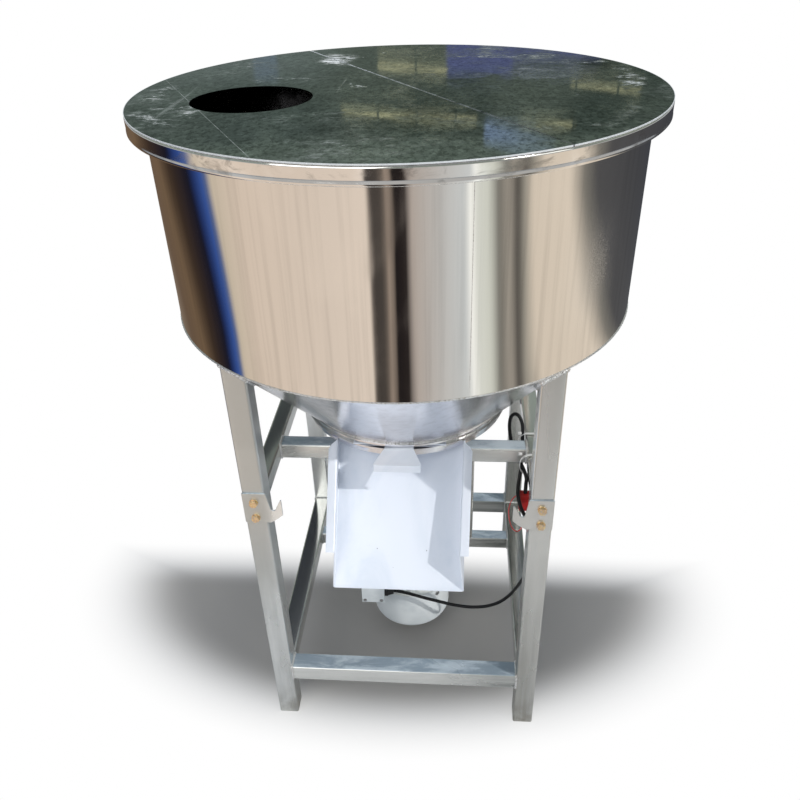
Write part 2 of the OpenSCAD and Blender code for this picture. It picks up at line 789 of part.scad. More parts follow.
// Gearbox casing: pinned ring housing, ribbed neck and output flange
module gearbox() {
    gear_r = gear_d / 2;
    ring_h = cavity_h + 4;
    neck_h = gear_flange_z - gear_z - ring_h;
    color(motor_grey) difference() {
        union() {
            translate([0, 0, gear_flange_z]) cylinder(r = gear_flange_d / 2, h = gear_flange_t);
            translate([0, 0, motor_plate_z - eps]) cylinder(r = spigot_r, h = motor_plate_t - 1);
            translate([0, 0, gear_z + ring_h - eps])
                cylinder(r1 = gear_r - 6, r2 = gear_r - 24, h = neck_h + 2 * eps);
            translate([0, 0, gear_z]) cylinder(r = gear_r - 3, h = ring_h);
            for (z = [0, ring_h - 10]) translate([0, 0, gear_z + z]) cylinder(r = gear_r, h = 10);
            for (a = [0:60:359]) rotate(a + 15)
                translate([30, -3, gear_z + ring_h - 4]) cube([gear_r - 34, 6, neck_h + 4 + eps]);
        }
        translate([0, 0, gear_z - 1]) cylinder(r = ring_bore_r, h = cavity_h + 1);
        for (i = [0:pin_count - 1]) rotate(i * 360 / pin_count)
            translate([pin_circle_r, 0, gear_z - 1]) cylinder(r = pin_r, h = ring_pin_l + 1, $fn = 48);
        translate([0, 0, gear_z])
            cylinder(r = shaft_r + running, h = motor_plate_z + motor_plate_t - gear_z);
        gear_bolts_cut();
    }
}

module gearbox_bolts() {
    color(dark_steel) gear_bolt_places() translate([0, 0, motor_plate_t]) {
        hex_bolt(10, motor_plate_t + gear_flange_t + 10, 6.4);
        translate([0, 0, -motor_plate_t - gear_flange_t - 8]) hex_nut(10, 8);
    }
}

module motor_flange() {
    color(motor_grey) difference() {
        union() {
            translate([0, 0, motor_flange_z + 4]) cylinder(r = gear_d / 2 + 4, h = motor_flange_t - 4);
            translate([0, 0, motor_flange_z]) cylinder(r = motor_r + 4, h = 4 + eps);
        }
        translate([0, 0, motor_flange_z - 1]) cylinder(r = rotor_r + running, h = motor_flange_t + 2);
    }
}

// Finned stator frame with a bore for the rotor
module motor_frame() {
    color(motor_grey) difference() {
        union() {
            translate([0, 0, motor_frame_z]) cylinder(r = motor_r, h = motor_h);
            for (i = [0:fin_count - 1]) rotate((i + 0.5) * 360 / fin_count)
                translate([motor_r - 2, -1.25, motor_frame_z + 6]) cube([fin_h + 2, 2.5, motor_h - 12]);
        }
        translate([0, 0, motor_frame_z - 1]) cylinder(r = core_r + loose, h = motor_h + 2);
    }
}

module motor_end_shield() {
    color(motor_grey) difference() {
        translate([0, 0, shield_z]) cylinder(r = shield_r, h = shield_h);
        translate([0, 0, shield_z - 1]) cylinder(r = rotor_r + running, h = shield_h + 2);
        cowl_screw_places() translate([0, 0, -cowl_screw_l]) cylinder(r = 3, h = cowl_screw_l + 1, $fn = 24);
    }
}

// Radial places of the screws, with +Z pointing out of the cowl
module cowl_screw_places() {
    for (a = [45:90:359]) rotate(a) translate([cowl_r, 0, shield_z + shield_h / 2])
        rotate([0, 90, 0]) children();
}

// Screws that hold the cowl to the end shield
module motor_bolts() {
    color(dark_steel) cowl_screw_places() hex_bolt(6, cowl_screw_l, 3);
}

// Deep-drawn cowl with air slots in its end
module fan_cowl() {
    c = cowl_corner_r;
    t = cowl_t;
    color(motor_grey) difference() {
        translate([0, 0, cowl_z]) rotate_extrude() {
            difference() {
                union() {
                    translate([0, c]) square([cowl_r, cowl_h - c]);
                    square([cowl_r - c, c + eps]);
                    translate([cowl_r - c, c]) circle(r = c, $fn = 64);
                }
                translate([-2 * cowl_r, -1]) square([2 * cowl_r, cowl_h + 2]);
                translate([-1, c]) square([cowl_r - t + 1, cowl_h]);
                translate([-1, t]) square([cowl_r - c + 1, c]);
                translate([cowl_r - c, c]) circle(r = c - t, $fn = 64);
            }
        }
        for (a = [0:60:359], r = [26:10:56]) rotate(a + 8)
            rotate_extrude(angle = 44) translate([r, cowl_z - 1]) square([4, cowl_t + 2]);
        cowl_screw_places() translate([0, 0, -cowl_screw_l]) cylinder(r = 3, h = cowl_screw_l + 1, $fn = 24);
    }
}

module cooling_fan() {
    fan_r = motor_r - 2;
    hub_r = rotor_r + 8;
    blade_h = fan_h - fan_back_t + 2;
    color(black_plastic) translate([0, 0, fan_z]) difference() {
        union() {
            cylinder(r = hub_r, h = fan_h);
            translate([0, 0, fan_h - fan_back_t]) cylinder(r = fan_r, h = fan_back_t);
            for (a = [0:45:359]) rotate(a) translate([hub_r - 2, -1.5, 0])
                cube([fan_r - hub_r + 2, 3, blade_h]);
        }
        translate([0, 0, -1]) cylinder(r = rotor_r, h = fan_h + 2);
    }
}

module rotor() {
    color(dark_steel) {
        translate([0, 0, fan_z - 2]) cylinder(r = rotor_r, h = rotor_top_z - fan_z + 2);
        translate([0, 0, motor_frame_z + core_inset]) cylinder(r = core_r, h = motor_h - 2 * core_inset);
    }
}

// Terminal box at the front left of the motor
box_x = -100;
box_w = 48;
box_y = 122;
box_d = 56;
box_z = 164;
box_h = 78;
box_wall = 3;
gland_y = 100;
gland_z = box_z + 14;
gland_l = 20;
gland_x = box_x + box_w;

module terminal_box() {
    color(motor_grey) difference() {
        union() {
            translate([box_x, -box_y + box_wall, box_z]) cube([box_w, box_d, box_h]);
            translate([box_x + 14, -box_y + box_d, box_z + 10]) cube([box_w - 10, 30, box_h - 20]);
        }
        translate([box_x + box_wall, -box_y, box_z + box_wall])
            cube([box_w - 2 * box_wall, box_d - box_wall, box_h - 2 * box_wall]);
        translate([0, 0, box_z - 1]) cylinder(r = fin_r + gate_gap, h = box_h + 2);
        translate([gland_x - box_wall - 1, -gland_y, gland_z]) rotate([0, 90, 0])
            cylinder(r = 8, h = box_wall + 2);
    }
}

module terminal_cover() {
    color(motor_grey) translate([box_x - 1, -box_y, box_z - 1]) cube([box_w + 2, box_wall, box_h + 2]);
}

module cable_gland() {
    color(black_plastic) translate([gland_x, -gland_y, gland_z]) rotate([0, 90, 0]) {
        translate([0, 0, -box_wall]) ring(cable_r, 8, box_wall + eps);
        difference() {
            union() {
                cylinder(r = 12, h = 8, $fn = 6);
                translate([0, 0, 8 - eps]) cylinder(r1 = 10, r2 = 7, h = gland_l - 8);
            }
            translate([0, 0, -1]) cylinder(r = cable_r, h = gland_l + 2);
        }
    }
}

// Route of the motor cable from the gland to the connector
cable_route = [[-52, -100, 178], [-30, -100, 178], [-12, -101, 176], [8, -103, 172], [34, -105, 165],
    [64, -107, 158],
    [100, -110, 151], [137, -113, 149], [170, -118, 158], [198, -126, 180], [218, -139, 216],
    [230, -158, 260],
    [237, -182, 306], [241, -208, 350], [243, -230, 390], [244, -243, 433], [243, -245, 468],
    [239, -243, 498],
    [230, -240, 524], [220, -234, 545], [215, -220, 559], [216, -198, 564], [220, -170, 563],
    [224, -142, 560],
    [227, -116, 559], [228, -100, 561], [229, -92, 573], [229, -88, 594], [228, -80, 618],
    [222, -73, 633], [214, -66, 635],
    [207, -60, 624], [205, -58, 603], [208, -64, 578], [214, -80, 562], [222, -104, 556], [228, -132, 559],
    [231, -158, 564], [232, -180, 568], [230, -196, 569], [229, -205, 563], [229, -206, 556]];

function unit(v) = v / norm(v);
function tangent(p, i) = unit(p[min(i + 1, len(p) - 1)] - p[max(i - 1, 0)]);
// Points of a smooth curve through the route, a few between each pair
function spline_point(a, b, c, d, t) =
    0.5 * (2 * b + (c - a) * t + (2 * a - 5 * b + 4 * c - d) * t * t + (3 * b - a - 3 * c + d) * t * t * t);
function smooth(p, n) = [for (i = [0:len(p) - 2], k = [0:n - 1])
    spline_point(p[max(i - 1, 0)], p[i], p[i + 1], p[min(i + 2, len(p) - 1)], k / n), p[len(p) - 1]];
// Side direction carried along the route without twist
function frames(p, i, s) = i >= len(p) ? [] :
    let (u = unit(s - (s * tangent(p, i)) * tangent(p, i))) concat([u], frames(p, i + 1, u));

// Round tube swept along a route
module swept_tube(route, r, sides, steps) {
    path = smooth(route, steps);
    side = frames(path, 0, [0, 0.1, 1]);
    n = len(path);
    rings = [for (i = [0:n - 1], k = [0:sides - 1])
        path[i] + r * (cos(360 * k / sides) * side[i] + sin(360 * k / sides) * cross(tangent(path, i),
            side[i]))];
    walls = [for (i = [0:n - 2], k = [0:sides - 1])
        [(i + 1) * sides + k, (i + 1) * sides + (k + 1) % sides, i * sides + (k + 1) % sides,
        i * sides + k]];
    first_end = [for (k = [0:sides - 1]) k];
    last_end = [for (k = [sides - 1:-1:0]) (n - 1) * sides + k];
    polyhedron(points = rings, faces = concat(walls, [first_end], [last_end]));
}

module motor_cable() {
    color(black_plastic) swept_tube(cable_route, cable_r - 0.02, 10, 1);
}

// Red in-line connector that hangs inside the right leg
connector_pos = [218, -215, 520];
connector_size = [22, 18, 36];

module cable_connector() {
    color([0.75, 0.12, 0.08]) translate(connector_pos) {
        cube(connector_size);
        translate([3, 3, -3]) cube(connector_size - [6, 6, 0]);
    }
}

// Thin loop of wire from the top of the connector round to its foot
wire_route = [[218, -206, 550], [210, -208, 548], [203, -212, 538], [200, -217, 523], [202, -222, 504],
    [208, -226, 488], [217, -226, 480], [225, -220, 484], [228, -212, 498], [229, -207, 517]];

module wire_loop() {
    color([0.7, 0.1, 0.1]) swept_tube(wire_route, 1, 8, 2);
}

drum_wall();
drum_rim();
drum_cone();
bottom_plate();
gate_spacer();
gate_housing();
slide_gate();
chute();
lid_left();
lid_right();
lid_bar();
front_left_leg();
front_right_leg();
rear_left_leg();
rear_right_leg();
lower_front_rail();
lower_rear_rail();
lower_left_rail();
lower_right_rail();
lower_mid_rail();
upper_left_rail();
upper_right_rail();
front_cross_rail();
rear_cross_rail();
support_posts();
left_bag_hook();
right_bag_hook();
hook_bolts();
motor_plate();
gearbox();
gearbox_bolts();
ring_pins();
lower_cycloid_disc();
upper_cycloid_disc();
eccentric_sleeve();
output_shaft();
shaft_coupling();
bearing_housing();
housing_bolts();
bearing_outer_ring();
bearing_balls();
bearing_inner_ring();
shaft_seal();
mixer_shaft();
scraper();
lower_paddles();
upper_paddles();
motor_flange();
motor_frame();
motor_end_shield();
motor_bolts();
fan_cowl();
cooling_fan();
rotor();
terminal_box();
terminal_cover();
cable_gland();
motor_cable();
cable_connector();
wire_loop();
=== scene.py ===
"""Looks of the seed mixer: a stainless hopper with a two-piece lid on a welded tube stand.

Metres, +Z up, front towards -Y, origin on the floor under the drum axis, as in the CAD frame.
"""
import json
import math
from functools import partialmethod, reduce

import bmesh
import bpy
import numpy as np
from mathutils import Matrix, Vector

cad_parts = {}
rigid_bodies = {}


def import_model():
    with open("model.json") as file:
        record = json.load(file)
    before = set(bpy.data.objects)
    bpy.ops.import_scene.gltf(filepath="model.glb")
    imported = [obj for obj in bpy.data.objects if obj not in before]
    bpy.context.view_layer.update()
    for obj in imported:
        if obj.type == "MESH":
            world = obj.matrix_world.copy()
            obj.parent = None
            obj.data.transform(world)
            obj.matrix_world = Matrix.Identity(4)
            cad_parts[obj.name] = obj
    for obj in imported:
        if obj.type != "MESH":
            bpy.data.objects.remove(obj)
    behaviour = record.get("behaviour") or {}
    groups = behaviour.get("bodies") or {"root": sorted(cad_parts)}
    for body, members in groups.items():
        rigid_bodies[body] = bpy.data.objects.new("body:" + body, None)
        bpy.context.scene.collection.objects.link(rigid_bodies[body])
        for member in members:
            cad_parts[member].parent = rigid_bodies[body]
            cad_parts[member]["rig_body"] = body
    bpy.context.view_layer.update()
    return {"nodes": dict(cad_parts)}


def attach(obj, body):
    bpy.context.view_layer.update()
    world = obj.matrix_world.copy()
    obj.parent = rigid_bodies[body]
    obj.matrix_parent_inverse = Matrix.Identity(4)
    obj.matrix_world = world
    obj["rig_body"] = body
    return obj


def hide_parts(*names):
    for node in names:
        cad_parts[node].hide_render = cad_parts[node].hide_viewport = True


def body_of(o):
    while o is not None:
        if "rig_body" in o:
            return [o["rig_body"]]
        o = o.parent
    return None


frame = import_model()
MM = 0.001
TURN = 2 * math.pi
ROUND = 384  # sides of the drum and rim

# Camera: place, turns of its axes in radians, focal length and sensor width in mm
EYE = (0.1038, -1.3121, 1.4734)
YAW, PITCH, ROLL = -0.08881, 0.57488, 0.03314
LENS, SENSOR = 34.90, 36.0


def placed(name, data):
    """New object of the given data, linked to the scene."""
    made = bpy.data.objects.new(name, data)
    bpy.context.scene.collection.objects.link(made)
    return made


def aim_camera():
    """Camera axes from yaw about +Z, pitch down and roll about the line of sight."""
    ahead = np.array([math.sin(YAW) * math.cos(PITCH), math.cos(YAW) * math.cos(PITCH), -math.sin(PITCH)])
    level = np.array([math.cos(YAW), -math.sin(YAW), 0.0])
    below = np.cross(ahead, level)
    right = math.cos(ROLL) * level + math.sin(ROLL) * below
    down = -math.sin(ROLL) * level + math.cos(ROLL) * below
    data = bpy.data.cameras.new("camera")
    data.lens, data.sensor_width, data.clip_start, data.clip_end = LENS, SENSOR, 0.01, 100.0
    camera = placed("camera", data)
    camera.matrix_world = Matrix([(right[k], -down[k], -ahead[k], EYE[k]) for k in range(3)] + [(0, 0, 0, 1)])
    bpy.context.scene.camera = camera


aim_camera()

# Surfaces


def grid_faces(rows, cols, close_rows=False, close_cols=False):
    """Quads between neighbouring points of a grid; a closed side joins its last line to its first."""
    i = np.arange(rows if close_rows else rows - 1)[:, None]
    j = np.arange(cols if close_cols else cols - 1)[None, :]
    ni, nj = (i + 1) % rows, (j + 1) % cols
    return np.stack([i * cols + j, i * cols + nj, ni * cols + nj, ni * cols + j], -1).reshape(-1, 4)


def capped(rows, cols):
    """Quads of a grid that closes round its columns, and one face each across its first and last row."""
    return grid_faces(rows, cols, False, True).tolist() + [range(cols), range((rows - 1) * cols, rows * cols)]


def merged(mesh, distance, last_step):
    """Joins the points of a mesh that lie closer than a distance, then runs one more step on it."""
    work = bmesh.new()
    work.from_mesh(mesh)
    bmesh.ops.remove_doubles(work, verts=work.verts, dist=distance)
    last_step(work)
    work.to_mesh(mesh)
    work.free()


def smoothed(mesh, degrees):
    """Smooth shading, with the edges sharp that bend by more than an angle."""
    mesh.polygons.foreach_set("use_smooth", np.ones(len(mesh.polygons), bool))
    mesh.set_sharp_from_angle(angle=math.radians(degrees))


def piece(name, shells, body="root", smooth=40):
    """One object from several (points, faces) shells, facing outwards, its sharp edges split at an angle."""
    points, faces, start = [], [], 0
    for shell_points, shell_faces in shells:
        flat = np.asarray(shell_points, float).reshape(-1, 3)
        points.append(flat)
        faces += [[int(k) + start for k in face] for face in shell_faces]
        start += len(flat)
    mesh = bpy.data.meshes.new(name)
    mesh.from_pydata(np.concatenate(points).tolist(), [], faces)
    merged(mesh, 1e-7, lambda work: bmesh.ops.recalc_face_normals(work, faces=work.faces))
    smoothed(mesh, smooth)
    mesh.update()
    made = placed(name, mesh)
    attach(made, body)
    return made


def bevelled(made, width, degrees):
    """Small bevel on the edges that bend by more than an angle."""
    edge = made.modifiers.new("edge", "BEVEL")
    edge.width, edge.segments, edge.limit_method = width, 2, "ANGLE"
    edge.angle_limit = math.radians(degrees)
    return edge


def spread(count):
    """Angles of points spaced evenly round a circle."""
    return np.linspace(0, TURN, count, endpoint=False)


def circle(angle, radius, height):
    """Points (r cos a, r sin a, z) round +Z."""
    x, y = radius * np.cos(angle), radius * np.sin(angle)
    return np.stack([x, y, np.broadcast_to(height, x.shape)], -1)


def revolved(profile, wave=None):
    """Closed (radius, height) profile turned about +Z: x = r cos a, y = r sin a, r plus wave(a, z)."""
    profile = np.asarray(profile, float)
    angle = spread(ROUND)
    radius = np.repeat(profile[:, :1], ROUND, 1)
    height = np.repeat(profile[:, 1:], ROUND, 1)
    if wave is not None:
        radius = radius + wave(angle[None, :], height)
    return circle(angle, radius, height), grid_faces(len(profile), ROUND, True, True)


def sides_along(path, closed):
    """Two unit vectors across a path at each of its points, carried along it without twist."""
    if closed:
        tangent = np.roll(path, -1, 0) - np.roll(path, 1, 0)
    else:
        tangent = np.gradient(path, axis=0)
    tangent /= np.linalg.norm(tangent, axis=1, keepdims=True)
    side = np.cross(tangent[0], [0.3, 0.1, 1.0])
    sides = []
    for t in tangent:
        side = side - t * (side @ t)
        side = side / np.linalg.norm(side)
        sides.append(side)
    return np.array(sides), np.cross(tangent, sides)


def tube(path, radius, sides, closed=False):
    """Circle of one radius, or one radius per point, carried along a path: p + r (u cos t + v sin t)."""
    path = np.asarray(path, float)
    u, v = sides_along(path, closed)
    turn = spread(sides)[None, :, None]
    ring = np.cos(turn) * u[:, None, :] + np.sin(turn) * v[:, None, :]
    points = path[:, None, :] + np.reshape(radius, (-1, 1, 1)) * ring
    return points, grid_faces(len(path), sides, True, True) if closed else capped(len(path), sides)


def spline(route, steps):
    """Catmull-Rom curve: each span is a cubic through its two points, sloped by their neighbours."""
    p = np.asarray(route, float)
    p = np.concatenate([p[:1], p, p[-1:]])
    t = (np.arange(steps) / steps)[None, :, None]
    a, b, c, d = (p[k:len(p) - 3 + k, None, :] for k in range(4))
    square, cube = 2 * a - 5 * b + 4 * c - d, 3 * b - a - 3 * c + d
    curve = 0.5 * (2 * b + (c - a) * t + square * t ** 2 + cube * t ** 3)
    return np.concatenate([curve.reshape(-1, 3), p[-1:]])


def bar(low, high, bevel):
    """Box between two corners: eight-sided plans, the two at its ends drawn in by the bevel.

    Drawing a plan in by b shortens its cut corners from b to b tan 22.5 degrees.
    """
    (x0, y0, z0), (x1, y1, z1) = low, high
    rows = []
    for z, i in ((z0, bevel), (z0 + bevel, 0), (z1 - bevel, 0), (z1, bevel)):
        c = bevel * math.tan(math.pi / 8) if i else bevel
        left, right, front, back = x0 + i, x1 - i, y0 + i, y1 - i
        rows.append([(left + c, front, z), (right - c, front, z), (right, front + c, z), (right, back - c, z),
                     (right - c, back, z), (left + c, back, z), (left, back - c, z), (left, front + c, z)])
    return np.array(rows), capped(4, 8)


def ripple_bead(path, radius, closed, seed, sides=8):
    """Weld bead: a tube that swells once per ripple, r (1 + 0.16 |sin|), on a slightly uneven path."""
    path = np.asarray(path, float)
    draw = np.random.default_rng(seed)
    k = np.arange(len(path))
    swell = 1 + 0.16 * np.abs(np.sin(k * math.pi / 4)) + draw.normal(0, 0.06, len(k))
    uneven = path + draw.normal(0, radius * 0.06, path.shape)
    if not closed:
        swell *= np.clip(np.minimum(k, k[::-1]) / 3 + 0.35, 0, 1)
    return tube(uneven, radius * swell, sides, closed)


def densely(points, step, closed=False):
    """Points spaced evenly along a polyline."""
    p = np.asarray(points, float)
    if closed:
        p = np.concatenate([p, p[:1]])
    length = np.concatenate([[0], np.cumsum(np.linalg.norm(np.diff(p, axis=0), axis=1))])
    count = max(int(length[-1] / step), 4)
    at = np.linspace(0, length[-1], count + 1)[:-1 if closed else None]
    return np.stack([np.interp(at, length, p[:, k]) for k in range(3)], -1)


# Finishes


class Nodes:
    """Short ways to add shader nodes to a tree: a node's output is linked in, any other value is set."""

    def __init__(self, tree, coordinates="Object"):
        self.tree = tree
        self.place = self.node("TexCoord").outputs[coordinates]

    def put(self, socket, value):
        if isinstance(value, bpy.types.NodeSocket):
            self.tree.links.new(value, socket)
        else:
            socket.default_value = value

    def node(self, kind, inputs=(), **settings):
        made = self.tree.nodes.new("ShaderNode" + kind)
        for key, value in settings.items():
            setattr(made, key, value)
        for key, value in dict(inputs).items():
            self.put(made.inputs[key], value)
        return made

    def calc(self, operation, a, b=0.0, clamp=False):
        return self.node("Math", {0: a, 1: b}, operation=operation, use_clamp=clamp).outputs[0]

    add, sub = partialmethod(calc, "ADD"), partialmethod(calc, "SUBTRACT")
    mul, most = partialmethod(calc, "MULTIPLY"), partialmethod(calc, "MAXIMUM")

    def length(self, vector):
        return self.node("VectorMath", {0: vector}, operation="LENGTH").outputs["Value"]

    def dot(self, a, b):
        return self.node("VectorMath", {0: a, 1: b}, operation="DOT_PRODUCT").outputs["Value"]

    def axis(self, letter, vector=None):
        """One coordinate of a vector, or else of the point itself."""
        return self.node("SeparateXYZ", {0: vector or self.place}).outputs[letter]

    def normal(self):
        return self.node("NewGeometry").outputs["Normal"]

    def stretch(self, scale=(1, 1, 1), turn=0.0, at=(0, 0, 0)):
        """The tree's coordinates moved to a centre, turned about +Z and scaled."""
        moved = self.node("VectorMath", {0: self.place, 1: at}, operation="SUBTRACT").outputs[0]
        return self.node("Mapping", {"Vector": moved, "Rotation": (0, 0, -turn), "Scale": scale}).outputs[0]

    def noise(self, scale, detail=3.0, stretch=(1, 1, 1), warp=0.0, turn=0.0, rough=0.5):
        return self.node("TexNoise", {"Vector": self.stretch(stretch, turn), "Scale": scale, "Detail": detail,
                                      "Distortion": warp, "Roughness": rough}).outputs["Fac"]

    def cells(self, scale, output="Distance", stretch=(1, 1, 1)):
        return self.node("TexVoronoi", {"Vector": self.stretch(stretch), "Scale": scale}).outputs[output]

    def ease(self, value, low, high, to_low=0.0, to_high=1.0):
        """Smooth step from one number at low to another at high."""
        return self.node("MapRange", {0: value, 1: low, 2: high, 3: to_low, 4: to_high},
                         interpolation_type="SMOOTHSTEP").outputs[0]

    def blend(self, a, b, amount):
        """Colour a, turned into colour b by an amount from 0 to 1."""
        a, b = (c if isinstance(c, bpy.types.NodeSocket) else tuple(c) + (1.0,) for c in (a, b))
        return self.node("Mix", {0: amount, 6: a, 7: b}, data_type="RGBA").outputs[2]

    def bump(self, height, distance, strength, over=None):
        """Normal bent by a height, on top of an already bent one if it is given."""
        inputs = {"Height": height, "Distance": distance, "Strength": strength}
        if over is not None:
            inputs["Normal"] = over
        return self.node("Bump", inputs).outputs[0]

    def spot(self, at, size, turn, soft, ragged=0.0):
        """Mask of an ellipse on the plan: 1 inside, fading over its outer part, its edge broken by noise."""
        reach = self.length(self.stretch((1 / size[0], 1 / size[1], 0), turn, (*at, 0)))
        if ragged:
            reach = self.sub(self.add(reach, self.mul(self.noise(26, 5, rough=0.7), ragged)), ragged / 2)
        return self.ease(reach, 1.0, 1.0 - soft)

    def line(self, across, offset, wide, narrow):
        """Mask of a straight line on the plan: 1 within the narrow distance of it, 0 beyond the wide one."""
        reach = self.calc("ABSOLUTE", self.sub(self.dot(self.place, (*across, 0)), offset))
        return self.ease(reach, wide, narrow)


class Finish(Nodes):
    """A material with one Principled shader, whose patterns read Object coordinates."""

    def __init__(self, name, color, rough, metal=0.0, **sockets):
        self.material = bpy.data.materials.new(name)
        self.material.use_nodes = True
        super().__init__(self.material.node_tree)
        self.shader = self.tree.nodes["Principled BSDF"]
        self.set(Base_Color=tuple(color) + (1.0,), Roughness=rough, Metallic=metal, **sockets)

    def set(self, **sockets):
        for label, value in sockets.items():
            self.put(self.shader.inputs[label.replace("_", " ")], value)

    def coated(self, color, rough, normal):
        """The finished material, with its colour, roughness and normal linked."""
        self.set(Base_Color=color, Roughness=rough, Normal=normal)
        return self.material


def srgb(r, g, b):
    """Linear colour from 0 to 255 display values."""
    v = np.array([r, g, b]) / 255
    return tuple(float(x) for x in np.where(v <= 0.04045, v / 12.92, ((v + 0.055) / 1.055) ** 2.4))


STEEL = (0.79, 0.755, 0.71)
SEAM = math.radians(31.5)
SEAM_OFFSET, SEAM_GAP = 0.020, 0.002
ACROSS = np.array([math.cos(SEAM), math.sin(SEAM)])
ALONG = np.array([-math.sin(SEAM), math.cos(SEAM)])
HAZE_AT = (0.300, -0.264)


def drum_steel(name, base, dull, dusty, shift):
    """Mirror-like rolled sheet: faint upright streaks, long level polishing scratches and hand smudges.

    The inside, where the normal points towards the axis by more than the shift allows, is darker: painted shade
    inside the drum.
    """
    f = Finish(name, base, 0.1, 1.0)
    streak = f.noise(95, 4, (1, 1, 0.02))
    smudge = f.noise(7, 5, (1, 1, 0.5), warp=1.2)
    scratch = f.noise(150, 3, (0.05, 0.05, 3.5))
    tint = f.blend(base, tuple(0.88 * c for c in base), f.ease(streak, 0.42, 0.72))
    tint = f.blend(tint, tuple(min(1.05 * c, 1.0) for c in base), f.ease(smudge, 0.52, 0.75, 0, 0.55))
    # inside: painted shade on the inner faces, darkening the drum's interior
    inside = f.ease(f.add(f.dot(f.normal(), f.place), shift), 0.02, -0.02)
    tint = f.blend(tint, (0.46, 0.44, 0.42), inside)
    height = f.axis("Z")
    level = f.mul(f.ease(height, 0.90, 1.01), f.ease(height, 1.15, 1.04, 0.25, 1.0))
    specks = f.ease(f.noise(420, 4, rough=0.8), 0.30, 0.70, 0.45, 1.0)
    haze = f.mul(f.mul(f.mul(f.spot(HAZE_AT, (0.10, 0.10), 0.0, 0.98, 0.15), specks), level), dusty)
    rough = f.add(f.ease(streak, 0.3, 0.75, 0.035 + dull, 0.085 + dull), f.ease(smudge, 0.5, 0.8, 0.0, 0.08))
    return f.coated(f.blend(tint, (0.86, 0.86, 0.85), haze), f.add(rough, f.mul(haze, 0.5)),
                    f.bump(f.noise(9, 2, (1, 1, 0.12)), 0.0014, 0.16, f.bump(scratch, 0.00002, 0.35)))


def rim_steel():
    """The same sheet rolled over by hand: short dents, rubbed patches and dark smears."""
    f = Finish("rim_steel", STEEL, 0.16, 1.0)
    rub = f.noise(22, 6, (1, 1, 2.2), warp=0.8, rough=0.65)
    patch = f.ease(f.noise(11, 5, (1, 1, 1.6), warp=0.6), 0.5, 0.7, 0, 0.8)
    tint = f.blend(f.blend(STEEL, (0.93, 0.92, 0.90), patch), (0.50, 0.48, 0.45), f.ease(rub, 0.52, 0.72))
    return f.coated(tint, f.ease(rub, 0.42, 0.78, 0.05, 0.24),
                    f.bump(f.noise(16, 3, (1, 1, 0.6)), 0.0016, 0.2, f.bump(rub, 0.0001, 0.3)))


# Rubbed patches on the lid: centre, half sizes and turn of an ellipse, and the strength of its marks
SCUFFS = [((-0.138, 0.262), (0.055, 0.075), 0.4, 1.0), ((-0.20, 0.085), (0.10, 0.05), 0.15, 0.7),
          ((-0.077, 0.01), (0.04, 0.03), 0.4, 0.8), ((-0.33, -0.16), (0.10, 0.16), 0.9, 0.7),
          ((-0.385, -0.04), (0.03, 0.15), 0.05, 0.85), ((0.375, 0.05), (0.035, 0.17), 0.2, 0.85),
          ((0.30, -0.245), (0.10, 0.03), 0.75, 0.35), ((-0.02, -0.33), (0.16, 0.05), 0.1, 0.4),
          ((0.19, 0.27), (0.17, 0.03), -0.25, 0.7), ((-0.30, 0.22), (0.06, 0.13), -0.6, 0.45),
          ((0.30, 0.20), (0.09, 0.025), -0.9, 0.8), ((0.05, 0.09), (0.20, 0.03), -0.1, 0.45),
          ((-0.10, -0.20), (0.16, 0.06), 0.3, 0.3)]


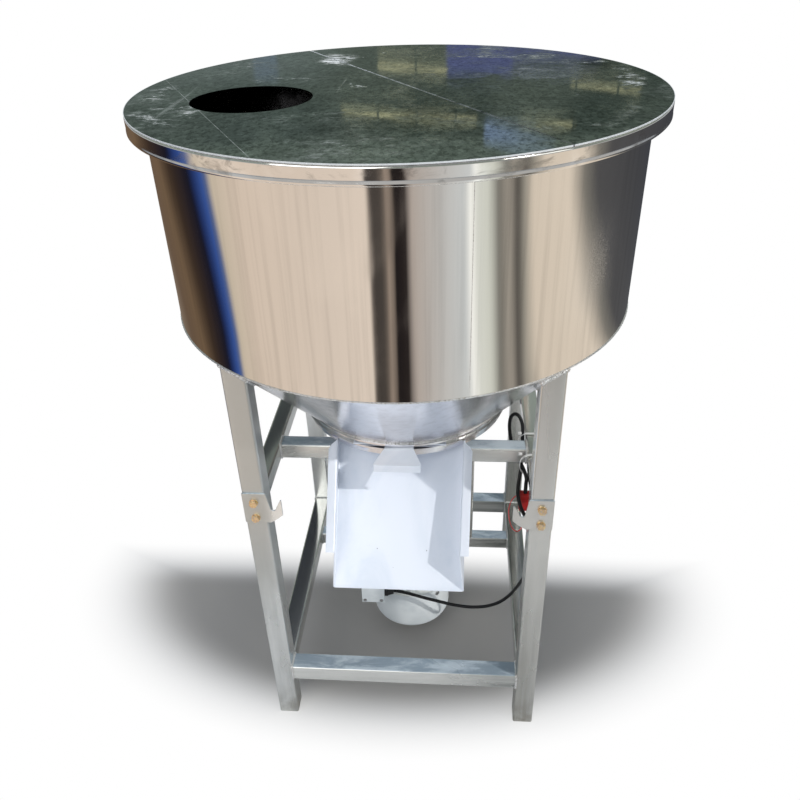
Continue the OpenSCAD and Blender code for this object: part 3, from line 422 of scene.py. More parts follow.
def lid_steel():
    """Mirror-smooth sheet whose dark, green-mottled base colour is a painted reflection of a dim hall; dusty,
    with rubbed white scuffs, scratches, and painted highlights along the seam and the outer edge.
    """
    # dark and green: base tones kept low as a painted reflection of a dim green hall, besides the hall that the
    # lid mirrors
    dark, green = (0.36, 0.38, 0.37), (0.52, 0.55, 0.52)
    dust, pale = (0.60, 0.64, 0.66), (0.80, 0.82, 0.84)
    f = Finish("lid_steel", dark, 0.2, 1.0, Specular_Tint=(0.55, 0.58, 0.56, 1.0))
    coarse = f.noise(9, 6, (1, 1, 0.2), warp=0.6, rough=0.62)
    grain = f.noise(130, 5, (1, 0.7, 0.2), rough=0.78)
    rubbed = f.noise(85, 5, (1, 0.5, 0.2), warp=0.4, rough=0.75)
    fleck = f.noise(52, 7, (0.55, 1, 0.2), warp=0.5, rough=0.8)
    haze = f.noise(4.5, 5, (1, 0.7, 0.2), warp=1.0, turn=-0.5, rough=0.6)
    tint = f.blend(dark, green, f.ease(coarse, 0.36, 0.66))
    tint = f.blend(tint, (0.12, 0.13, 0.12), f.ease(grain, 0.45, 0.60, 0, 0.85))
    tint = f.blend(tint, (0.80, 0.84, 0.82), f.ease(rubbed, 0.50, 0.68, 0, 0.6))
    tint = f.blend(tint, dust, f.mul(f.ease(fleck, 0.52, 0.7), 0.28))

    scuffed = reduce(f.most, [f.mul(f.spot(*ellipse, 0.8, 0.9), amount) for *ellipse, amount in SCUFFS])
    hairs = f.mul(f.ease(f.noise(60, 4, (1, 0.03, 1), turn=0.9), 0.66, 0.72), f.ease(f.noise(5, 2), 0.45, 0.6))
    dots = f.mul(f.ease(f.cells(24, stretch=(1, 1, 0.05)), 0.08, 0.04), f.ease(f.noise(9, 2), 0.56, 0.62))
    # seam_highlight: painted highlight along the lid edges at the seam, stronger towards the back and broken by
    # noise
    seam_highlight = f.mul(f.ease(f.axis("Y"), -0.35, 0.35, 0.25, 0.95), f.ease(fleck, 0.36, 0.56, 0.35, 1.0))
    # marks: rubbed scuffs, scratches and dust, together with the painted highlights along the seam and the
    # outer edge
    marks = reduce(f.most, [
        f.mul(scuffed, f.ease(fleck, 0.47, 0.66)),
        f.mul(f.spot((-0.135, 0.262), (0.05, 0.085), 0.35, 0.8, 1.3), f.ease(fleck, 0.40, 0.56)),
        f.mul(hairs, 0.3),
        f.mul(dots, 0.6),
        f.mul(f.ease(haze, 0.42, 0.72), f.ease(fleck, 0.38, 0.76, 0.06, 0.5)),
        f.mul(f.line(ACROSS, SEAM_OFFSET, 0.0022, 0.0012), seam_highlight),
        f.mul(f.line((0.880, 0.477), -0.319, 0.0008, 0.0002), f.ease(fleck, 0.3, 0.6, 0.15, 0.5)),
        # pale ring on the outermost millimetre of the lid: painted highlight along its outer edge
        f.ease(f.length(f.stretch((1, 1, 0))), 0.4232, 0.4242, 0, 0.9)])
    f.set(Metallic=f.ease(marks, 0.0, 1.0, 1.0, 0.25))
    rough = f.add(f.ease(coarse, 0.3, 0.7, 0.02, 0.075), f.mul(marks, 0.5))
    warped = f.bump(f.noise(3.2, 1, (1, 1, 0.2)), 0.004, 0.06)
    return f.coated(f.blend(tint, pale, marks), rough, f.bump(grain, 0.00003, 0.15, warped))


def sheet_paint():
    """Bright zinc-white sheet of the chute and gate: even, cool, with rubbed marks and a little dust."""
    base = srgb(235, 240, 249)
    f = Finish("pale_sheet", base, 0.38, 0.12, Specular_IOR_Level=0.5)
    mark = f.noise(9, 6, (1, 0.45, 0.6), warp=0.7, rough=0.6)
    drawn = f.noise(70, 2, (1, 0.06, 0.06))
    tint = f.blend(base, srgb(222, 230, 241), f.ease(mark, 0.45, 0.72))
    rare = f.mul(f.ease(f.cells(60), 0.09, 0.05), f.ease(f.noise(21, 2), 0.60, 0.64))
    return f.coated(f.blend(tint, srgb(110, 112, 118), f.mul(rare, 0.7)),
                    f.ease(f.add(mark, f.mul(drawn, 0.3)), 0.45, 0.95, 0.3, 0.46),
                    f.bump(f.noise(6, 2), 0.004, 0.1, f.bump(drawn, 0.00005, 0.3)))


def tube_zinc(name, lengthwise, metal, dusty=1.0, base=srgb(228, 227, 222), right_shade=0.0):
    """Galvanised tube: spangle, draw lines, dust with a painted bluish sky sheen on top, darker towards the
    bottom and dirt near the floor; right_shade paints shade on the right side, and the lower right parts get
    painted shade.
    """
    f = Finish(name, base, 0.3, metal)
    tone = f.node("SeparateColor", {"Color": f.cells(110, "Color")}).outputs[0]
    cloud = f.noise(6, 5, np.maximum(lengthwise, 0.25), warp=0.4)
    drawn = f.noise(55, 5, lengthwise, rough=0.7)
    mottle = f.noise(28, 6, np.maximum(lengthwise, 0.3), warp=0.5, rough=0.7)
    right, height = f.axis("X"), f.axis("Z")
    low = f.mul(f.ease(height, 0.62, 0.10), f.ease(drawn, 0.36, 0.66, 0.25, 0.85))
    # up: top faces, which take dust and a painted bluish sheen of sky light
    up = f.ease(f.axis("Z", f.normal()), 0.7, 0.95)
    dust = f.blend(srgb(152, 170, 184), srgb(214, 228, 238), f.ease(mottle, 0.40, 0.62))
    dirt = f.mul(f.ease(height, 0.10, 0.0, 0, 0.5), f.ease(f.noise(30, 5), 0.35, 0.65))
    tint = f.blend(base, srgb(236, 236, 232), f.ease(tone, 0.2, 0.9, 0, 0.3))
    tint = f.blend(tint, srgb(176, 178, 175), f.ease(cloud, 0.44, 0.70, 0, 0.75))
    # darker towards the bottom, weakly on the left and fully for x beyond 0.2: painted shade on the lower right
    # legs
    tint = f.blend(tint, srgb(130, 133, 130), f.mul(low, f.ease(right, 0.1, 0.2, 0.25, 1.0)))
    # right_shade: darker, warmer right side, painted shade
    tint = f.blend(tint, srgb(196, 193, 186), f.ease(right, -0.1, 0.1, 0.0, right_shade))
    # dust on the top faces, with a painted bluish sky sheen
    tint = f.blend(tint, dust, f.mul(up, 0.9 * dusty))
    f.set(Metallic=f.ease(up, 0.0, 1.0, metal, metal - 0.3 * dusty))
    return f.coated(f.blend(tint, srgb(126, 118, 104), dirt),
                    f.ease(cloud, 0.3, 0.75, 0.10 + 0.07 * dusty, 0.20 + 0.14 * dusty),
                    f.bump(drawn, 0.0002, 0.1 + 0.2 * dusty))


def motor_paint():
    """Sprayed grey casting: orange peel, sand texture and dust that gathers on the upper sides."""
    base = srgb(230, 235, 236)
    f = Finish("motor_paint", base, 0.42, 0.0, Specular_IOR_Level=0.5)
    cloud = f.noise(14, 4)
    tint = f.blend(base, srgb(212, 218, 220), f.ease(cloud, 0.45, 0.7))
    tint = f.blend(tint, srgb(198, 193, 180), f.ease(f.axis("Z", f.normal()), 0.4, 1.0, 0, 0.35))
    return f.coated(tint, f.ease(cloud, 0.3, 0.7, 0.36, 0.52), f.bump(f.noise(520, 2), 0.0002, 0.22))


def brushed_steel(name, base, tones, cloud, lines, dullest):
    """Turned or brushed steel: fine level lines, and a darker cloud of oil or seed dust."""
    f = Finish(name, base, 0.3, 1.0)
    lines = f.noise(*lines)
    return f.coated(f.blend(*tones, f.ease(f.noise(*cloud), 0.42, 0.7)),
                    f.ease(lines, 0.3, 0.7, 0.22, dullest), f.bump(lines, 0.00004, 0.4))


def yellow_zinc():
    """Yellow passivated bolts, worn brassy with grey patches on their corners."""
    f = Finish("yellow_zinc", (0.72, 0.48, 0.17), 0.3, 1.0)
    worn = f.noise(240, 4)
    tint = f.blend((0.86, 0.68, 0.38), (0.74, 0.52, 0.34), f.ease(worn, 0.36, 0.6))
    return f.coated(f.blend(tint, (0.62, 0.60, 0.55), f.ease(worn, 0.58, 0.66)),
                    f.ease(worn, 0.35, 0.7, 0.24, 0.45), f.bump(worn, 0.0001, 0.3))


def plastic(name, color, rough, grain=600, worn=None, gloss=0.45):
    """Moulded plastic or rubber: fine grain in the bump and a faint uneven gloss."""
    f = Finish(name, color, rough, 0.0, Specular_IOR_Level=gloss)
    cloud = f.noise(60, 3)
    worn = worn or tuple(c * 1.7 + 0.006 for c in color)
    return f.coated(f.blend(color, worn, f.ease(cloud, 0.5, 0.75, 0, 0.7)),
                    f.ease(cloud, 0.3, 0.7, rough - 0.07, rough + 0.1), f.bump(f.noise(grain, 2), 0.0001, 0.25))


def weld_metal():
    """Weld bead: bright silver paint over ripples, with a dull heat-stained border."""
    f = Finish("weld_metal", (0.72, 0.72, 0.73), 0.36, 0.75)
    spatter = f.noise(420, 3)
    return f.coated(f.blend((0.82, 0.82, 0.82), (0.45, 0.43, 0.40), f.ease(spatter, 0.46, 0.66)),
                    f.ease(spatter, 0.3, 0.7, 0.25, 0.5), f.bump(spatter, 0.0004, 0.4))


DRUM, RIM, LID = drum_steel("drum_steel", STEEL, 0.0, 0.5, 0.0), rim_steel(), lid_steel()
CONE = drum_steel("cone_steel", (0.78, 0.77, 0.79), 0.14, 0.0, 0.8)
SHEET, PAINT, YELLOW, WELD = sheet_paint(), motor_paint(), yellow_zinc(), weld_metal()
ZINC = tube_zinc("upright_zinc", (1, 1, 0.04), 0.82, base=srgb(242, 243, 242), right_shade=0.6)
CROSS_ZINC = tube_zinc("cross_zinc", (0.04, 1, 1), 0.7, base=srgb(242, 242, 238))
SIDE_ZINC = tube_zinc("side_zinc", (1, 0.04, 1), 0.97, 0.0)
MACHINED = brushed_steel("machined_steel", (0.50, 0.50, 0.50), ((0.56, 0.56, 0.57), (0.34, 0.34, 0.35)),
                         (30, 4), (260, 2, (0.05, 0.05, 1)), 0.38)
INNER = brushed_steel("agitator_steel", (0.66, 0.63, 0.59), ((0.70, 0.67, 0.63), (0.52, 0.49, 0.44)),
                      (18, 4, (1, 1, 1), 0.6), (120, 3, (0.15, 0.15, 2)), 0.42)
BLACK = plastic("black_plastic", (0.018, 0.018, 0.019), 0.42)
RUBBER = plastic("cable_rubber", (0.007, 0.007, 0.008), 0.42, 900, gloss=0.25)
SEAL = plastic("seal_rubber", (0.016, 0.015, 0.014), 0.6, 700)
RED = plastic("red_plastic", (0.42, 0.012, 0.010), 0.34)
RED_WIRE = plastic("red_wire", (0.55, 0.05, 0.05), 0.42)
TIE = plastic("white_nylon", (0.72, 0.72, 0.70), 0.4, worn=(0.6, 0.6, 0.56))

SLOTS = {LID: "lid_sheet", SHEET: "pale_sheet", PAINT: "motor_paint", MACHINED: "machined_steel",
         YELLOW: "yellow_zinc", BLACK: "black_plastic", TIE: "black_plastic", RUBBER: "cable_rubber",
         SEAL: "seal_rubber", RED: "red_plastic", RED_WIRE: "red_wire",
         **dict.fromkeys((DRUM, CONE, RIM, INNER), "stainless"),
         **dict.fromkeys((ZINC, CROSS_ZINC, SIDE_ZINC, WELD), "galvanised")}


def dress(made, material):
    """Gives a piece its finish."""
    made.data.materials.clear()
    made.data.materials.append(material)
    return made


def fitted(name, node, material, shells, body="root", smooth=40):
    """A dressed piece that takes the place of a CAD node."""
    made = piece(name, shells, body, smooth)
    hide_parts(node)
    return dress(made, material)


# Cords: routes through points in mm
CABLE_ROUTE = MM * np.array([
    (-52, -100, 178), (-30, -100, 178), (-12, -101, 176), (8, -103, 172), (34, -105, 165), (64, -107, 158),
    (100, -110, 151), (137, -113, 149), (170, -118, 158), (198, -126, 180), (218, -139, 216), (230, -158, 260),
    (237, -182, 306), (241, -208, 350), (243, -230, 390), (244, -243, 433), (243, -245, 468), (239, -243, 498),
    (230, -240, 524), (220, -234, 545), (215, -220, 559), (216, -198, 564), (220, -170, 563), (224, -142, 560),
    (227, -116, 559), (228, -100, 561), (229, -92, 573), (229, -88, 594), (228, -80, 618), (222, -73, 633),
    (214, -66, 635), (207, -60, 624), (205, -58, 603), (208, -64, 578), (214, -80, 562), (222, -104, 556),
    (228, -132, 559), (231, -158, 564), (232, -180, 568), (230, -196, 569), (229, -205, 563), (229, -206, 556)])
WIRE_ROUTE = MM * np.array([
    (218, -206, 550), (210, -208, 548), (203, -212, 538), (200, -217, 523), (202, -222, 504), (208, -226, 488),
    (217, -226, 480), (225, -220, 484), (228, -212, 498), (229, -207, 517)])
CABLE_D, WIRE_D, JACKET_FIT = 0.007, 0.002, 0.00002


def connector():
    """Red in-line connector: a housing with four ribs and a smaller foot; the cable enters from above."""
    shells = [bar((0.218, -0.215, 0.520), (0.240, -0.197, 0.556), 0.0015),
              bar((0.221, -0.212, 0.517), (0.237, -0.200, 0.5201), 0.0008)]
    for z in (0.527, 0.533, 0.539, 0.545):
        shells.append(bar((0.2176, -0.2154, z), (0.2404, -0.1966, z + 0.0022), 0.0004))
    return fitted("red_connector", "cable_connector", RED, shells)


def cords():
    plug = connector()
    path = spline(CABLE_ROUTE, 5)
    cable = fitted("motor_lead", "motor_cable", RUBBER, [tube(path, CABLE_D / 2 - JACKET_FIT, 16)])
    path = spline(WIRE_ROUTE, 6)
    wire = fitted("red_wire_loop", "wire_loop", RED_WIRE, [tube(path, WIRE_D / 2, 10)])


cords()

# Drum: outer radii, heights of its edges, thickness of the sheet, depth and fold radius of the rim
DRUM_R, RIM_R, OUTLET_R = 0.400, 0.425, 0.195
OUTLET_Z, CONE_Z, RIM_Z = 0.654, 0.874, 1.216
SHEET_T, RIM_H, RIM_FOLD = 0.002, 0.025, 0.0035
CONE_SLOPE = (CONE_Z - OUTLET_Z, DRUM_R - OUTLET_R)
CONE_T = SHEET_T / math.sin(math.atan2(*CONE_SLOPE))
DRUM_SEAM = math.atan2(-0.384, 0.121)


def hand_rolled(depth, seed, waves):
    """Sum of a few sines round the drum, each bending slowly with height: the sheet's own unevenness."""
    draw = np.random.default_rng(seed)
    terms = [(k, draw.uniform(0, TURN), draw.uniform(-2.5, 2.5), draw.uniform(0.4, 1.0)) for k in waves]

    def wave(angle, z):
        return depth * sum(w / k * np.sin(k * angle + p + q * z) for k, p, q, w in terms)
    return wave


def drum():
    """Wall, rim and cone, each a closed profile turned about +Z, and the welds between them."""
    uneven = hand_rolled(-0.0016, 3, (5, 7, 9, 13, 17))

    def inward(angle, z):
        """Unevenness that only pulls the wall in, and dies out at the two welded ends."""
        fade = np.clip(np.minimum(z - CONE_Z, RIM_Z - z) / 0.05, 0, 1)
        return (uneven(angle, z) - 0.0004) * fade

    height = np.linspace(CONE_Z, RIM_Z - SHEET_T, 24)
    profile = [(DRUM_R, z) for z in height] + [(DRUM_R - SHEET_T, z) for z in height[::-1]]
    fitted("drum_shell", "drum_wall", DRUM, [revolved(profile, inward)])

    dents = hand_rolled(-0.0012, 8, (7, 11, 19, 29, 43))

    def dented(angle, z):
        """Dents in the skirt only."""
        return np.where(z < RIM_Z - 0.004, dents(angle, z) * 0.6, 0)

    r, t, low = RIM_FOLD, SHEET_T, RIM_Z - RIM_H
    turn = np.linspace(0, math.pi / 2, 7)
    outer = [(RIM_R - r + r * math.sin(a), RIM_Z - r + r * math.cos(a)) for a in turn]
    inner = [(RIM_R - r + (r - t) * math.sin(a), RIM_Z - r + (r - t) * math.cos(a)) for a in turn[::-1]]
    skirt = [(RIM_R, low + up) for up in (0.017, 0.010, 0.005)]
    hem = [(RIM_R + 0.0005, low + 0.0035), (RIM_R + 0.0005, low + 0.0012), (RIM_R - 0.0005, low),
           (RIM_R - t - 0.0003, low), (RIM_R - t - 0.0008, low + 0.0012), (RIM_R - t, low + 0.004)]
    edge = DRUM_R - 0.0001
    profile = [(edge, RIM_Z)] + outer + skirt + hem + inner + [(edge, RIM_Z - t)]
    fitted("drum_rim_band", "drum_rim", RIM, [revolved(profile, dented)])

    slope = [(OUTLET_R + CONE_SLOPE[1] * s, OUTLET_Z + CONE_SLOPE[0] * s) for s in np.linspace(0, 1, 16)]
    profile = slope + [(r0 - CONE_T, z0) for r0, z0 in slope[::-1]]
    fitted("hopper_cone", "drum_cone", CONE, [revolved(profile)])

    angle = spread(1100)
    level = circle(angle, DRUM_R + 0.0002, CONE_Z)
    foot = circle(angle, OUTLET_R + 0.0008, OUTLET_Z + 0.0004)[::2]
    x, y = math.cos(DRUM_SEAM), math.sin(DRUM_SEAM)
    upright = [(x * (DRUM_R - 0.0007), y * (DRUM_R - 0.0007), z)
               for z in np.linspace(CONE_Z + 0.001, RIM_Z - 0.003, 40)]
    down = densely([(-x * r0, -y * r0, z0) for r0, z0 in slope], 0.0015)
    shells = [ripple_bead(level, 0.0011, True, 2, 6), ripple_bead(foot, 0.0014, True, 4, 6),
              tube(densely(upright, 0.0015), 0.0007, 8), ripple_bead(down, 0.0012, False, 6, 6)]
    dress(piece("drum_welds", shells), WELD)


drum()

# Lid: thickness, how far its edge stays inside the rim's, the feed hole, and the lugs inside the drum wall
LID_T, LID_INSET = 0.002, 0.0004
FEED = circle(math.radians(197.5), 0.233, 0.0)[:2]
FEED_R, NO_HOLE_R = 0.095, 0.004
LUG_GAP, LUG_T, LUG_W, LUG_H = 0.004, 0.005, 0.024, 0.012


def lid_reach(centre, angle, edge):
    """Distance from a point in a lid half to its outline, along each angle: the nearer of rim and seam."""
    ray = circle(angle, 1.0, 0.0)[:, :2]
    lean = ray @ centre
    reach = -lean + np.sqrt(lean ** 2 + (RIM_R - LID_INSET) ** 2 - centre @ centre)
    with np.errstate(divide="ignore"):
        to_seam = (edge - centre @ ACROSS) / (ray @ ACROSS)
    return np.where((to_seam > 0) & (to_seam < reach), to_seam, reach)


def lid_half(name, node, body, side, centre, hole_r, lug_angles):
    """Flat half disc as rings between an inner circle and the outline, with lugs under it.

    Upper face: z = thickness + 0.00012 (sin(9x + 1.3 side) cos(11y) - 1), fading out at both edges.
    """
    edge = SEAM_OFFSET + side * SEAM_GAP / 2
    corners = []
    for end in (1, -1):
        tip = ACROSS * edge + ALONG * end * math.sqrt((RIM_R - LID_INSET) ** 2 - edge ** 2) - centre
        corners.append(math.atan2(tip[1], tip[0]))
    angle = np.sort(np.concatenate([np.linspace(-math.pi, math.pi, 300, endpoint=False), corners]))
    share = np.linspace(0, 1, 26)[:, None]
    radius = hole_r + (lid_reach(centre, angle, edge) - hole_r) * share
    plan = centre + circle(angle, radius, 0.0)[..., :2]
    warp = 0.00012 * (np.sin(9 * plan[..., 0] + 1.3 * side) * np.cos(11 * plan[..., 1]) - 1)
    fade = np.clip(np.minimum(share, 1 - share) / 0.3, 0, 1)
    top = np.concatenate([plan, (RIM_Z + LID_T + warp * fade)[..., None]], -1)
    bottom = np.concatenate([plan, np.full_like(warp, RIM_Z)[..., None]], -1)
    rows = np.concatenate([top, bottom[::-1]])
    grid = rows.shape[:2]
    shells = [(rows, grid_faces(*grid, True, True) if hole_r > NO_HOLE_R else capped(*grid))]
    face = DRUM_R - LUG_GAP
    low, high = (face - LUG_T, -LUG_W / 2, RIM_Z - LUG_H), (face, LUG_W / 2, RIM_Z + 0.0002)
    for degrees in lug_angles:
        a = SEAM + math.radians(degrees)
        points, faces = bar(low, high, 0.0008)
        points[..., :2] = points[..., :2] @ [[math.cos(a), math.sin(a)], [-math.sin(a), math.cos(a)]]
        shells.append((points, faces))
    return fitted(name, node, LID, shells, body, 35)


lid_half("lid_left_sheet", "lid_left", "lid_left_half", -1, FEED, FEED_R, (110, 180, 250))
lid_half("lid_right_sheet", "lid_right", "lid_right_half", 1, ACROSS * 0.19, NO_HOLE_R, (-70, 0, 70))

# Chute: where its floor starts, its lip and wall tops there, inner width, thickness, flanges, fold radius
START_Y, START_Z = 0.122, 0.6255
LIP_Y, LIP_Z, WALL_TOP_Z = 0.315, 0.410, 0.500
CHUTE_W, CHUTE_T, FLANGE_W, CHUTE_FOLD = 0.236, 0.002, 0.016, 0.003


def chute():
    """Folded sheet: a U section with turned-out flanges, carried from the outlet to the lip as it deepens.

    Each section runs flange, wall, floor, wall, flange through rounded folds; depth grows along the chute.
    """
    half, fold = CHUTE_W / 2 + CHUTE_T / 2, CHUTE_FOLD
    stations = np.concatenate([[0, 0.03, 0.06, 0.10], np.linspace(0.14, 1, 24)])
    floor_y = np.interp(stations, [0, 1], [START_Y, LIP_Y])
    floor_z = np.interp(stations, [0, 1], [START_Z, LIP_Z + 0.0012])
    top_y = np.interp(stations, [0, 0.03, 0.06, 1], [0.157, 0.158, 0.166, LIP_Y])
    top_z = np.interp(stations, [0, 0.03, 0.06, 1], [0.6258, 0.6365, 0.6385, WALL_TOP_Z - 0.001])
    lean = np.interp(stations, [0, 0.06, 1], [0.0, 0.003, 0.008])
    flange = np.interp(stations, [0, 0.06, 0.12, 1], [0.0006, 0.0006, FLANGE_W, FLANGE_W])
    turn = np.linspace(0, math.pi / 2, 5)
    sections = []
    for fy, fz, ty, tz, w, pull in zip(floor_y, floor_z, top_y, top_z, flange, lean):
        bottom, top = np.array([0, -fy, fz]), np.array([0, -ty, tz])
        up = top - bottom
        depth = np.linalg.norm(up)
        up /= depth
        r = min(fold, w)
        wall = [depth * s for s in (0.75, 0.5, 0.25) if fold < depth * s < depth - r]
        wall += [fold] * (3 - len(wall))
        line = [(w + half, depth)] + [(half + r - r * math.sin(a), depth - r + r * math.cos(a)) for a in turn]
        line += [(half, d) for d in wall]
        line += [(half - fold + fold * math.cos(a), fold - fold * math.sin(a)) for a in turn]
        line += [(half * s, 0.0) for s in (0.8, 0.6, 0.4, 0.2)]
        side = np.array(line)
        side[:, 0] -= pull * np.clip(side[:, 1] / depth, 0, 1)
        full = np.concatenate([side, [[0.0, 0.0]], side[::-1] * [-1, 1]])
        sections.append(bottom + full @ [(1, 0, 0), up])
    sections = np.array(sections)
    made = piece("chute_sheet", [(sections, grid_faces(*sections.shape[:2]))], smooth=50)
    solid = made.modifiers.new("thickness", "SOLIDIFY")
    solid.thickness, solid.offset = CHUTE_T * 0.95, 0.0
    bevelled(made, 0.0005, 50)
    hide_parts("chute")
    dress(made, SHEET)


chute()

# Stand: outer faces and width of the legs, widths and tops of the rails, middle lines of the rails across
LEG_X, LEG_Y, LEG_W = 0.270, 0.290, 0.040
RAIL_W, LOW_W = 0.032, 0.038
LOW_Z, HIGH_Z, MID_TOP_Z = 0.145, 0.602, 0.141
FRONT_CROSS_Y, REAR_CROSS_Y = -0.120, 0.132
LEG_BEAD_R, RAIL_BEAD_R, BEAD_STEP = 0.0032, 0.0022, 0.0013


def square_line(x0, x1, y0, y1, corner=0.004):
    """Outline of a rounded square on the plan: a quarter circle round each of four centres."""
    left, right, front, back = x0 + corner, x1 - corner, y0 + corner, y1 - corner
    centres = (right, back), (left, back), (left, front), (right, front)
    quarter = np.linspace(0, math.pi / 2, 5)
    return np.concatenate([centre + circle(quarter + k * math.pi / 2, corner, 0.0)[:, :2]
                           for k, centre in enumerate(centres)])


def stand_welds():
    """Beads round the leg tops, z = the cone's outer face, and round the rail ends on the legs and rails."""
    shells, joints = [], []
    mid = LEG_X - LEG_W / 2
    for sx, sy in ((-1, -1), (-1, 1), (1, -1), (1, 1)):
        xs, ys = sorted((sx * (LEG_X - LEG_W), sx * LEG_X)), sorted((sy * (LEG_Y - LEG_W), sy * LEG_Y))
        flat = square_line(*xs, *ys)
        dense = densely(np.column_stack([flat, np.zeros(len(flat))]), BEAD_STEP, True)
        reach = np.hypot(dense[:, 0], dense[:, 1]) - OUTLET_R
        dense[:, 2] = np.minimum(OUTLET_Z + reach * CONE_SLOPE[0] / CONE_SLOPE[1] - 0.0006, CONE_Z)
        shells.append(ripple_bead(dense, LEG_BEAD_R, True, 20 + sx + 3 * sy))
        for top, w in ((LOW_Z, LOW_W), (HIGH_Z, RAIL_W)):
            joints.append(((sx * mid, sy * (LEG_Y - LEG_W), top - w / 2), (1, 0, 0), w))
        joints.append(((sx * (LEG_X - LEG_W), sy * (LEG_Y - LEG_W / 2), LOW_Z - LOW_W / 2), (0, 1, 0), LOW_W))
        if sy > 0:
            for y, top, w in ((FRONT_CROSS_Y, HIGH_Z, RAIL_W), (REAR_CROSS_Y, HIGH_Z, RAIL_W),
                              (REAR_CROSS_Y, MID_TOP_Z, LOW_W)):
                joints.append(((sx * (mid - w / 2), y, top - RAIL_W / 2), (0, 1, 0), RAIL_W))
    for index, (centre, u, w) in enumerate(joints):
        half = w / 2 + 0.0002
        ring = centre + square_line(-half, half, -half, half) @ [u, (0, 0, 1)]
        shells.append(ripple_bead(densely(ring, BEAD_STEP, True), RAIL_BEAD_R, True, 40 + index))
    dress(piece("stand_welds", shells), WELD)


stand_welds()

# Small fittings
TIE_W, TIE_T = 0.0045, 0.0012
COVER_Y = -0.122
SCREW = [(0.0004, 0.0036), (0.0, 0.0040), (-0.0010, 0.0038), (-0.0017, 0.0028), (-0.0019, 0.0012)]


def bent_tie(centre, half_x, half_z):
    """Nylon tie pulled round a bundle: a flat band round a rounded rectangle in X and Z."""
    flat = square_line(-half_x, half_x, -half_z, half_z, min(half_x, half_z) * 0.8)
    upright = [(1, 0, 0), (0, 0, 1)]
    ring = centre + flat @ upright
    out = flat / np.linalg.norm(flat, axis=1, keepdims=True) @ upright * TIE_T
    side = np.array([0.0, TIE_W / 2, 0.0])
    rows = np.stack([ring + side, ring - side, ring - side + out, ring + side + out])
    return rows, grid_faces(4, len(flat), True, True)


def fittings():
    """Two cable ties with square heads, and the round heads of the terminal cover's screws."""
    ties = [bent_tie((0.2445, -0.0875, 0.586), 0.0225, 0.0185),
            bar((0.2195, -0.0900, 0.6025), (0.2265, -0.0850, 0.6075), 0.0008),
            bent_tie((0.2445, -0.1560, 0.5825), 0.0235, 0.0225),
            bar((0.2165, -0.1585, 0.6045), (0.2235, -0.1535, 0.6095), 0.0008)]
    dress(piece("cable_ties", ties), TIE)
    turn = spread(20)
    shells = []
    for x in (-0.094, -0.058):
        for z in (0.170, 0.236):
            points = [circle(turn, r, COVER_Y + depth)[:, [0, 2, 1]] + (x, 0, z) for depth, r in SCREW]
            shells.append((points, capped(len(SCREW), 20)))
    dress(piece("cover_screws", shells), MACHINED)


fittings()

# CAD nodes to round and dress, by their finish and by the width of their broken edges
LEGS = "front_left_leg front_right_leg rear_left_leg rear_right_leg "
FINISH = {
    ZINC: LEGS + "support_posts left_bag_hook right_bag_hook motor_plate gate_spacer lid_bar",
    CROSS_ZINC: "lower_front_rail lower_rear_rail lower_mid_rail front_cross_rail rear_cross_rail",
    SIDE_ZINC: "lower_left_rail lower_right_rail upper_left_rail upper_right_rail",
    SHEET: "slide_gate",
    CONE: "bottom_plate gate_housing",
    INNER: "mixer_shaft scraper lower_paddles upper_paddles",
    PAINT: "gearbox motor_flange motor_frame motor_end_shield fan_cowl terminal_box terminal_cover "
           "bearing_housing",
    MACHINED: "gearbox_bolts ring_pins lower_cycloid_disc upper_cycloid_disc eccentric_sleeve output_shaft "
              "shaft_coupling housing_bolts bearing_outer_ring bearing_balls bearing_inner_ring motor_bolts "
              "rotor",
    YELLOW: "hook_bolts",
    BLACK: "cooling_fan cable_gland",
    SEAL: "shaft_seal",
}
BROKEN = {
    0.0003: "fan_cowl motor_frame motor_bolts",
    0.0004: LEGS + "hook_bolts housing_bolts cable_gland bottom_plate gate_housing",
    0.0005: "left_bag_hook right_bag_hook gearbox_bolts cooling_fan lid_bar",
    0.0007: "slide_gate",
    0.0008: "motor_plate scraper lower_paddles upper_paddles",
    0.0009: "terminal_cover",
    0.001: "motor_end_shield shaft_coupling bearing_housing",
    0.0012: "terminal_box motor_flange gearbox",
}
WIDTHS = {node: width for width, nodes in BROKEN.items() for node in nodes.split()}
SHARP = 32


def rounded_copy(node, material, width):
    """Merged copy of a CAD node with flat faces joined, broken edges and smooth round sides."""
    source = frame["nodes"][node]
    mesh = source.data.copy()
    flat = math.radians(0.4)
    merged(mesh, 2e-6, lambda work: bmesh.ops.dissolve_limit(
        work, angle_limit=flat, verts=work.verts, edges=work.edges))
    smoothed(mesh, SHARP)
    made = placed(node + "_finished", mesh)
    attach(made, body_of(source)[0])
    if width:
        bevelled(made, width, SHARP).harden_normals = True
    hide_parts(node)
    return dress(made, material)


for finish, nodes in FINISH.items():
    for node in nodes.split():
        rounded_copy(node, finish, WIDTHS.get(node, 0.0))

